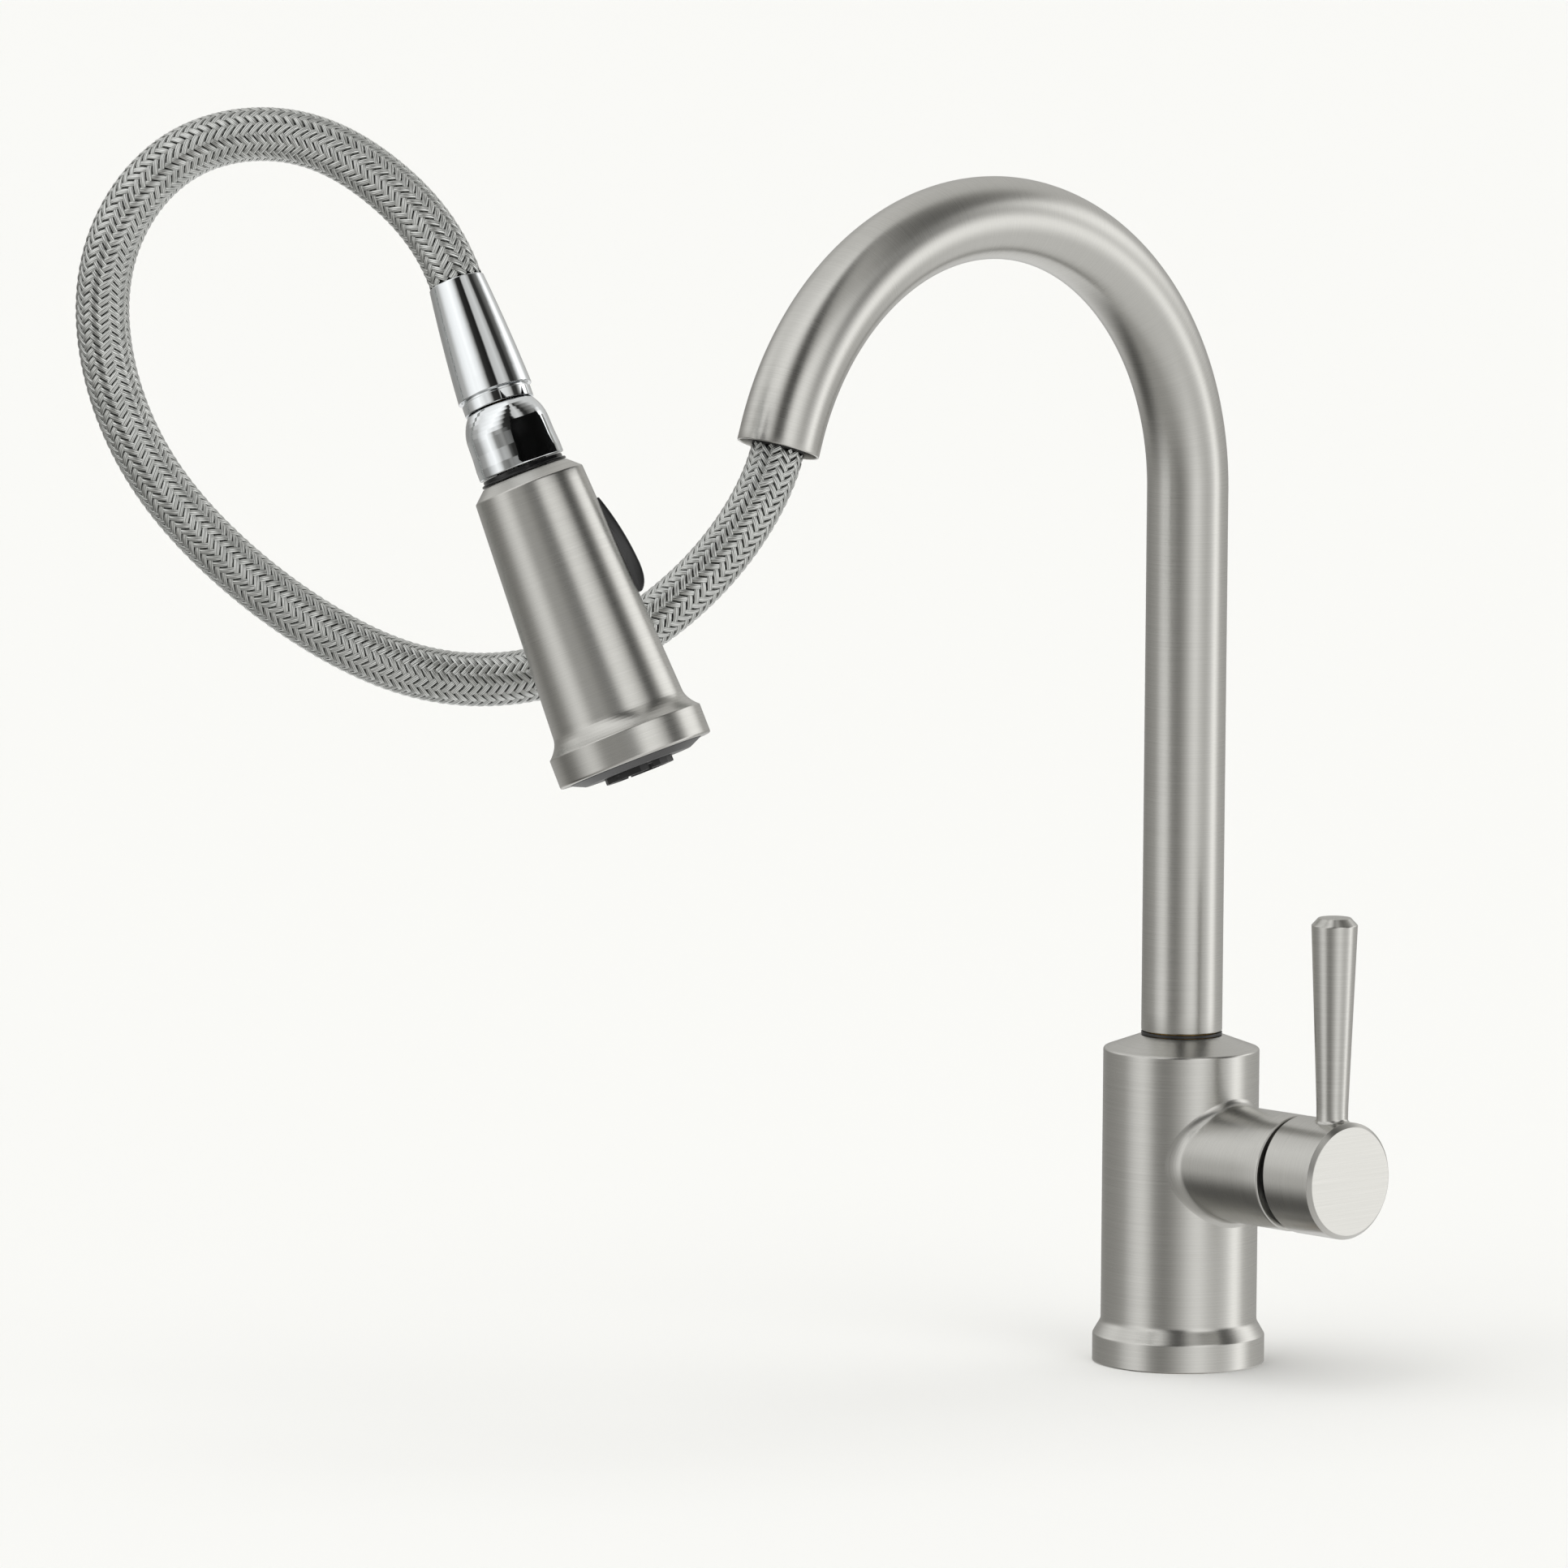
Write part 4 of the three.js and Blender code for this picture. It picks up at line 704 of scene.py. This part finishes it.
# %% Hub
ALONG_X = turned_about("y", 90)
HUB_END, HUB_BEVEL, REAR_TOP, REAR_BOTTOM = 74.7, 1.3, 52.9, 56.1
SHEAR_FROM = HUB_END - 8
rear = (REAR_TOP + REAR_BOTTOM) / 2
hub = spin("handle_hub_skin", [
    (0, HUB_END - 13), (15.5, HUB_END - 13), (15.5, rear, 0.3), (STUB, rear, 0.4),
    (STUB, HUB_END - HUB_BEVEL, 0.3), (STUB - HUB_BEVEL, HUB_END, 0.3), (0, HUB_END),
], shifted(0, 0, AXIS) @ ALONG_X, sides=192)
co = np.empty(len(hub.data.vertices) * 3)
hub.data.vertices.foreach_get("co", co)
co = co.reshape(-1, 3) / MM
height = (co[:, 2] - AXIS) / STUB
near_rear = np.clip((SHEAR_FROM - co[:, 0]) / (SHEAR_FROM - rear), 0, 1)
co[:, 0] -= height * near_rear * (REAR_BOTTOM - REAR_TOP) / 2
hub.data.vertices.foreach_set("co", (co * MM).ravel())
hub.data.update()
# The end face is brushed straight across on a flat belt, so its UVs are its own y and z.
corner_point = np.empty(len(hub.data.loops), int)
hub.data.loops.foreach_get("vertex_index", corner_point)
facing = np.empty(len(hub.data.polygons) * 3)
hub.data.polygons.foreach_get("normal", facing)
sizes = np.empty(len(hub.data.polygons), int)
hub.data.polygons.foreach_get("loop_total", sizes)
flat_corners = np.repeat(facing.reshape(-1, 3)[:, 0] > 0.98, sizes)
hub_uv = np.empty(len(hub.data.loops) * 2)
hub.data.uv_layers[0].uv.foreach_get("vector", hub_uv)
hub_uv = np.where(flat_corners[:, None], co[corner_point][:, 1:], hub_uv.reshape(-1, 2))
hub.data.uv_layers[0].uv.foreach_set("vector", hub_uv.astype(np.float32).ravel())
dress(hub, NICKEL, "handle", "nickel", "handle_hub")

# %% Lever
LEVER_X = 66.5


def lever_grid(sides=96):
    """A tapered round bar that ends on the hub. Its foot is where z = sqrt(hub^2 - y^2), with a small
    fillet."""
    angle = np.linspace(0, 2 * np.pi, sides + 1)
    t = np.linspace(0, np.pi / 2, 8)[:, None]
    fillet = 1.0
    r = 4.9 + fillet * (1 - np.sin(t))
    x, y = r * np.cos(angle), r * np.sin(angle)
    z = AXIS + np.sqrt(STUB ** 2 - y ** 2) + fillet * (1 - np.cos(t)) - 0.03
    foot = np.stack([x, y, z], axis=-1)
    outline = rounded([(4.96, 88.0), (7.2, 144.7, 0.5), (5.05, 147.0, 0.4), (0, 147.0)], False)
    rest = np.stack([outline[:, :1] * np.cos(angle), outline[:, :1] * np.sin(angle),
                     outline[:, 1:] + 0 * angle], axis=-1)
    root = np.broadcast_to([0, 0, AXIS + STUB - 3], foot[:1].shape)
    grid = np.concatenate([root, foot, rest])
    grid[..., 0] += LEVER_X
    return grid, angle


grid, angle = lever_grid()
lever = mesh_object("handle_lever_skin", *skin(grid[:, :-1], angle * 7, arc_length(grid[:, 0])))
dress(lever, NICKEL, "handle", "nickel", "handle_lever")
print("lever top", round(grid[..., 2].max(), 1))

# %% [markdown]
# ## The cone and the ball joint
#
# When the wand is pulled out, a chromed cone shows on the end of the hose. It steers the hose back into
# the spout. Under it a ball sits in a chromed nut, so that the wand can lean and turn.

# %% Cone and nut
def sphere_points(radius, first, last, count):
    """Points of an outline on a sphere about the ball's centre, between two angles from the axis in
    degrees."""
    a = np.radians(np.linspace(first, last, count))
    return [(radius * np.sin(v), radius * np.cos(v), 2.0) for v in a]


CONE_LOW, CONE_BASE, CONE_TIP = 12.3, 11.45, 8.5
share = np.linspace(0, 1, 8)[1:-1]
side_points = [(CONE_BASE - (CONE_BASE - CONE_TIP) * (0.62 * t + 0.38 * t * t),
                CONE_LOW + (CONE_TOP - CONE_LOW) * t, 9.0) for t in share]
cone = spin("docking_cone_skin", [
    *sphere_points(13.2, 23.7, 54.0, 6), (10.7, 11.5, 0.15), (10.2, 11.5, 0.1), (10.2, CONE_LOW, 0.1),
    (CONE_BASE, CONE_LOW, 0.3), *side_points, (CONE_TIP, CONE_TOP, 0.4), (5.3, CONE_TOP, 0.3),
], CONE, sides=128, steps=6)
dress(cone, CHROME, "spout", "chrome", "docking_cone")
BELL_BOTTOM = -11.0
nut = spin("joint_nut", [
    (7.9, BELL_BOTTOM, 0.2), (13.3, BELL_BOTTOM, 0.35), (13.3, -8.0, 3.0), (13.0, -4.0, 3.0),
    *sphere_points(12.9, 90, 44.5, 9), (6.6, 9.2, 0.4), (6.6, 5.6, 0.3), (7.9, 4.2, 0.3),
], WAND, sides=128, steps=6)
dress(nut, CHROME, "bell", "chrome", "bell_nut")
COLLAR_TOP = BELL_BOTTOM - 0.3
collar = spin("wand_collar_skin", [
    (7.8, COLLAR_TOP - 1.9), (13.3, COLLAR_TOP - 1.9, 0.2), (13.3, COLLAR_TOP - 1.2, 0.25),
    (12.5, COLLAR_TOP - 1.15, 0.1), (12.5, COLLAR_TOP, 0.25), (7.8, COLLAR_TOP),
], WAND)
dress(collar, GLOSS_BLACK, "wand", "black", "wand_collar")
print("cone and nut made")

# %% [markdown]
# ## The wand
#
# The wand's shell is a brushed nickel cone with a flange round the spray face. The slot for the button
# is cut with a boolean, and the black face, the nozzle and the button stand in it.

# %% Wand shell
TOP = COLLAR_TOP - 1.9 - 0.3
LENGTH = 91.8
LOW = TOP - LENGTH
NECK, FOOT_RADIUS = LOW + 9.7, 20.6
flare = [(FOOT_RADIUS + 2.8 * (1 - t) ** 2, NECK + 5.6 * t, 1.5) for t in np.linspace(0, 1, 7)[1:]]
shell = spin("wand_shell_skin", [
    (21.1, LOW, 0.3), (24.0, LOW, 0.7), (24.0, LOW + 9.2, 0.5), (23.4, NECK, 0.4), *flare,
    (17.05, TOP - 3.4, 0.6), (13.3, TOP, 0.4), (7.8, TOP), (7.8, TOP - 1.5), (11.4, TOP - 1.5),
    (15.3, TOP - 4.9), (19.15, LOW + 9.6), (19.15, LOW + 6.6), (21.1, LOW + 6.6),
], WAND, sides=192)


POLE_REACH = 9  # UV distance from a flat side's rim to its pole


def slab(name, outline, half, edge, matrix, steps=6):
    """A plate with a side view and rounded edges. At station y the side view is drawn in by edge -
    sqrt(edge^2 - d^2), where d is how far y is into the rounded edge, and each end is closed to a
    pole."""
    line = np.array(outline, float)
    ahead, behind = np.roll(line, -1, axis=0), np.roll(line, 1, axis=0)
    forward = unit(ahead - behind)
    outwards = np.stack([forward[:, 1], -forward[:, 0]], axis=1)
    d = np.linspace(edge, 0, steps)
    inset = edge - np.sqrt(edge ** 2 - d ** 2)
    y = np.concatenate([half - edge + d, [0], -(half - edge + d[::-1])])
    inset = np.concatenate([inset, [0], inset[::-1]])
    flat = line[None] - inset[:, None, None] * outwards[None]
    grid = np.stack([flat[..., 0], y[:, None] + 0 * flat[..., 0], flat[..., 1]], axis=-1)
    middle = line.mean(axis=0)
    caps = [np.broadcast_to([middle[0], v, middle[1]], grid[:1].shape) for v in (half, -half)]
    grid = np.concatenate([caps[0], grid, caps[1]])
    around = np.append(arc_length(line), arc_length(line)[-1] + np.linalg.norm(line[0] - line[-1]))
    across = np.concatenate([[half + POLE_REACH], y, [-half - POLE_REACH]])
    return mesh_object(name, *skin(place(grid, matrix), around, across))


SLOT_LOW, SLOT_HIGH = -59.4, -26.6
slot_view = [(12.5, SLOT_LOW), (30, SLOT_LOW), (30, SLOT_HIGH), (12.5, SLOT_HIGH)]
cutter = slab("slot_cutter", rounded(slot_view, True, 0.4), 5.9, 0.4, WAND)
cutting = shell.modifiers.new("slot", "BOOLEAN")
cutting.object = cutter
cutting.operation = "DIFFERENCE"
cutting.solver = "EXACT"
bpy.context.view_layer.update()
cut_mesh = bpy.data.meshes.new_from_object(shell.evaluated_get(bpy.context.evaluated_depsgraph_get()))
shell.modifiers.clear()
shell.data = cut_mesh
shell.data.set_sharp_from_angle(angle=np.radians(40))
bpy.data.objects.remove(cutter)
dress(shell, NICKEL, "wand", "nickel", "wand_shell")
print("shell", len(shell.data.polygons), "faces")

# %% Button, face and nozzle
def keep_mesh(node, name, material, slot, body, bevel):
    """A finished copy of a CAD node: its loose triangles are joined, and its edges get a small bevel."""
    copy = bpy.data.objects.new(name, frame["nodes"][node].data.copy())
    bpy.context.scene.collection.objects.link(copy)
    joined = copy.modifiers.new("joined", "WELD")
    joined.merge_threshold = 0.00002
    edge = copy.modifiers.new("edge", "BEVEL")
    edge.width = bevel * MM
    edge.segments = 3
    edge.limit_method = "ANGLE"
    edge.angle_limit = np.radians(30)
    edge.harden_normals = True
    dress(copy, material, body, slot, node)
    return copy


def quadratic(first, towards, last, count):
    """Points of a curve from first to last that is drawn towards a third point."""
    t = np.linspace(0, 1, count)[1:, None]
    first, towards, last = (np.array(p, float) for p in (first, towards, last))
    return list((1 - t) ** 2 * first + 2 * t * (1 - t) * towards + t ** 2 * last)


BUTTON_LOW, BUTTON_HIGH, THUMB = -58.4, -27.6, (22.2, -50.4)
button_view = rounded([
    (13.2, BUTTON_LOW), (19.6, BUTTON_LOW), *quadratic((19.6, BUTTON_LOW), (22.4, -56.4), THUMB, 9),
    *quadratic(THUMB, (21.4, -38.4), (17.5, BUTTON_HIGH), 15), (13.2, BUTTON_HIGH),
], True, 0.5)
button = slab("rocker_button_skin", button_view, 5.6, 0.7, WAND)
dress(button, GLOSS_BLACK, "button", "black", "rocker_button")
face = spin("spray_face_skin", [
    (11.0, LOW - 1.9, 0.2), (16.8, LOW - 1.9, 0.8), (20.8, LOW - 0.1, 0.3), (20.8, LOW + 4.6),
    (11.0, LOW + 4.6),
], WAND)
dress(face, SATIN_BLACK, "wand", "black", "spray_face")
keep_mesh("aerator_housing", "nozzle_skin", SATIN_BLACK, "black", "wand", bevel=0.2)
print("wand made")

# %% [markdown]
# ## What stays as the frame made it
#
# The pieces inside and under the deck keep the frame's own meshes, facets and all. They only take a
# finish.

# %% Finishes for the rest
FINISH = {
    "brass": BRASS, "steel": STEEL, "copper": COPPER, "braid": BRAID, "black": SATIN_BLACK,
    "rubber": RUBBER, "acetal": ACETAL, "ceramic": CERAMIC, "silicone": SILICONE, "nickel": STEEL,
    "chrome": CHROME,
}
slots = {part["node"]: part["material_slot"] for part in frame["record"]["subparts"]}
for node_name, cad in frame["nodes"].items():
    cad.data.materials.clear()
    cad.data.materials.append(FINISH[slots[node_name]])
print(len(slots), "nodes have a finish")

# %% [markdown]
# ## Studio
#
# Brushed and polished metal shows its surroundings more than its own colour, so the light is four level
# rings of panels, one above another, each with bright stretches and the dark gaps that give the metal
# its shape. The camera sees a plain pale background in their place, and the floor is left out of
# reflections. A small black card beside the ball joint, which only reflections show, darkens one side of
# the chrome.

# %% Floor, surroundings and lamp
# Each band is (degrees right of the camera, brightness), and is a level ring of panels.
LOW_BANDS = [(-180, 1.0), (-165, 1.0), (-135, 0.5), (-113, 0.07), (-92, 0.1), (-60, 0.45), (-20, 0.5),
             (20, 0.8), (120, 0.9), (180, 1.0)]
MIDDLE_BANDS = [(-180, 0.4), (-140, 0.3), (-115, 0.38), (-92, 0.5), (-76, 1.0), (-60, 1.25),
                (-48, 0.85), (-40, 0.3), (-26, 0.2), (-14, 0.36), (0, 0.7), (13, 1.05), (27, 1.25),
                (41, 0.85), (56, 0.68), (72, 1.0), (88, 1.9), (108, 0.6), (140, 0.5), (180, 0.4)]
HIGH_BANDS = [(-180, 0.6), (-150, 0.6), (-131, 0.9), (-112, 1.15), (-94, 0.85), (-76, 1.0), (-48, 1.3),
              (-33, 1.0), (-22, 0.5), (-15, 0.04), (6, 0.02), (11, 0.8), (22, 1.5), (40, 1.4), (56, 0.8),
              (64, 0.06), (80, 0.05), (90, 0.6), (98, 1.6), (122, 1.7), (141, 0.7), (180, 0.6)]
TOP_BANDS = [(-180, 0.7), (-94, 1.0), (-48, 1.3), (-33, 1.0), (-22, 0.4), (-14, 0.03), (8, 0.015),
             (14, 0.6), (38, 0.75), (54, 0.45), (62, 0.04), (76, 0.03), (92, 0.14), (114, 0.3),
             (135, 0.7), (180, 0.7)]
PANEL_STRENGTH = 2.0
# Sines of the heights between which one ring gives way to the next.
LOW_SEAM, MIDDLE_SEAM, TOP_SEAM = (-0.5, -0.17), (0.02, 0.3), (0.45, 0.6)
FLOOR_REACH = 15  # metres


def bands(tree, bearing, rows):
    """A Color Ramp of brightnesses. They are stored as halves, because a ramp's colours end at 1, and
    the darkest panels are a little brown."""
    node = add(tree, "ShaderNodeValToRGB", {"Fac": (bearing, 0)})
    elements = node.color_ramp.elements
    while len(elements) < len(rows):
        elements.new(0.5)
    for element, (degrees, level_of) in zip(elements, rows):
        element.position = (degrees + 180) / 360
        half, whiteness = level_of / 2, min(level_of, 1)
        element.color = (half, half * (0.98 + 0.02 * whiteness), half * (0.92 + 0.07 * whiteness), 1)
    return node


def between(tree, source, limits):
    """A node that goes from 0 to 1 while the source goes from the first limit to the second."""
    return add(tree, "ShaderNodeMapRange", {"Value": source, "From Min": limits[0], "From Max": limits[1]})


def blend(tree, share, first, second):
    """Mixes two colours: the first where share is 0, and the second where it is 1."""
    return add(tree, "ShaderNodeMix", {"Factor": (share, 0), 6: first, 7: second}, data_type="RGBA")


def studio():
    """A pale floor, and surroundings whose brightness depends on the direction. The camera sees them
    plain."""
    grid = FLOOR_REACH * np.array([[-1, -1, 0], [1, -1, 0], [1, 1, 0], [-1, 1, 0]]) / MM
    floor = mesh_object("floor", grid, [np.array([[0, 1, 2, 3]])], [np.zeros((1, 4, 2))])
    floor.data.materials.append(finish("pale_floor", base_color=colour("#F7F7F5"), roughness=0.9)[0])
    floor.visible_glossy = False  # the metal shows the panels instead, as it would on a narrow table
    world = bpy.data.worlds.new("studio")
    bpy.context.scene.world = world
    world.use_nodes = True
    tree = world.node_tree
    direction = add(tree, "ShaderNodeTexCoord")
    centred = add(tree, "ShaderNodeMapping", {"Vector": (direction, "Generated"),
                                              "Rotation": (0, 0, np.pi / 2 - HEADING)})
    parts = add(tree, "ShaderNodeSeparateXYZ", {0: (centred, 0)})
    angle_of = add(tree, "ShaderNodeMath", {0: (parts, "Y"), 1: (parts, "X")}, operation="ARCTAN2")
    bearing = between(tree, (angle_of, 0), (-np.pi, np.pi))
    low_share, middle_share, top_share = (between(tree, (parts, "Z"), limits)
                                          for limits in (LOW_SEAM, MIDDLE_SEAM, TOP_SEAM))
    low, middle, high, top = (bands(tree, bearing, rows)
                              for rows in (LOW_BANDS, MIDDLE_BANDS, HIGH_BANDS, TOP_BANDS))
    lower = blend(tree, low_share, (low, 0), (middle, 0))
    upper = blend(tree, top_share, (high, 0), (top, 0))
    whole = blend(tree, middle_share, (lower, 2), (upper, 2))
    panels = add(tree, "ShaderNodeBackground", {"Color": (whole, 2), "Strength": PANEL_STRENGTH})
    plain = add(tree, "ShaderNodeBackground", {"Color": colour("#FDFDFC"), "Strength": 1.0})
    ray = add(tree, "ShaderNodeLightPath")
    mix = add(tree, "ShaderNodeMixShader", {0: (ray, "Is Camera Ray"), 1: (panels, 0), 2: (plain, 0)})
    tree.links.new(mix.outputs[0], tree.nodes["World Output"].inputs["Surface"])


CARD_REACH, CARD_CELLS = 34, 24
CARD_FROM, CARD_TO = 5, 100  # degrees right of the camera's direction
CARD_HEIGHTS = (-3, 30)


def flag():
    """A small black card beside the ball joint. Photographers stand one next to chrome to give it a dark
    side. It is part of a cylinder about the ball, and only reflections show it."""
    count = CARD_CELLS + 1
    a = np.radians(np.linspace(CARD_FROM, CARD_TO, count)) + HEADING - np.pi / 2
    ring = np.stack([BALL[0] + CARD_REACH * np.cos(a), BALL[1] + CARD_REACH * np.sin(a)], axis=1)
    points = np.concatenate([np.column_stack([ring, np.full(count, BALL[2] + h)]) for h in CARD_HEIGHTS])
    first = np.arange(CARD_CELLS)
    corners = np.stack([first, first + 1, first + count + 1, first + count], axis=1)
    card = mesh_object("black_card", points, [corners], [np.zeros((CARD_CELLS, 4, 2))])
    material, _, shader = finish("matt_black_card", base_color=colour("#101010"), roughness=1.0)
    shader.inputs["Specular IOR Level"].default_value = 0.0
    card.data.materials.append(material)
    card.visible_camera = card.visible_diffuse = card.visible_shadow = False


studio()
flag()
KEY_ENERGY, KEY_WIDTH, KEY_TURN = 1.15, 70, (0.25, 0.0, 0.7)
lamp = bpy.data.lights.new("key", "SUN")
lamp.energy = KEY_ENERGY
lamp.angle = np.radians(KEY_WIDTH)
key = bpy.data.objects.new("key", lamp)
key.rotation_euler = KEY_TURN
key.visible_glossy = False
bpy.context.scene.collection.objects.link(key)
bpy.context.scene.view_settings.view_transform = "Standard"
print("studio ready")
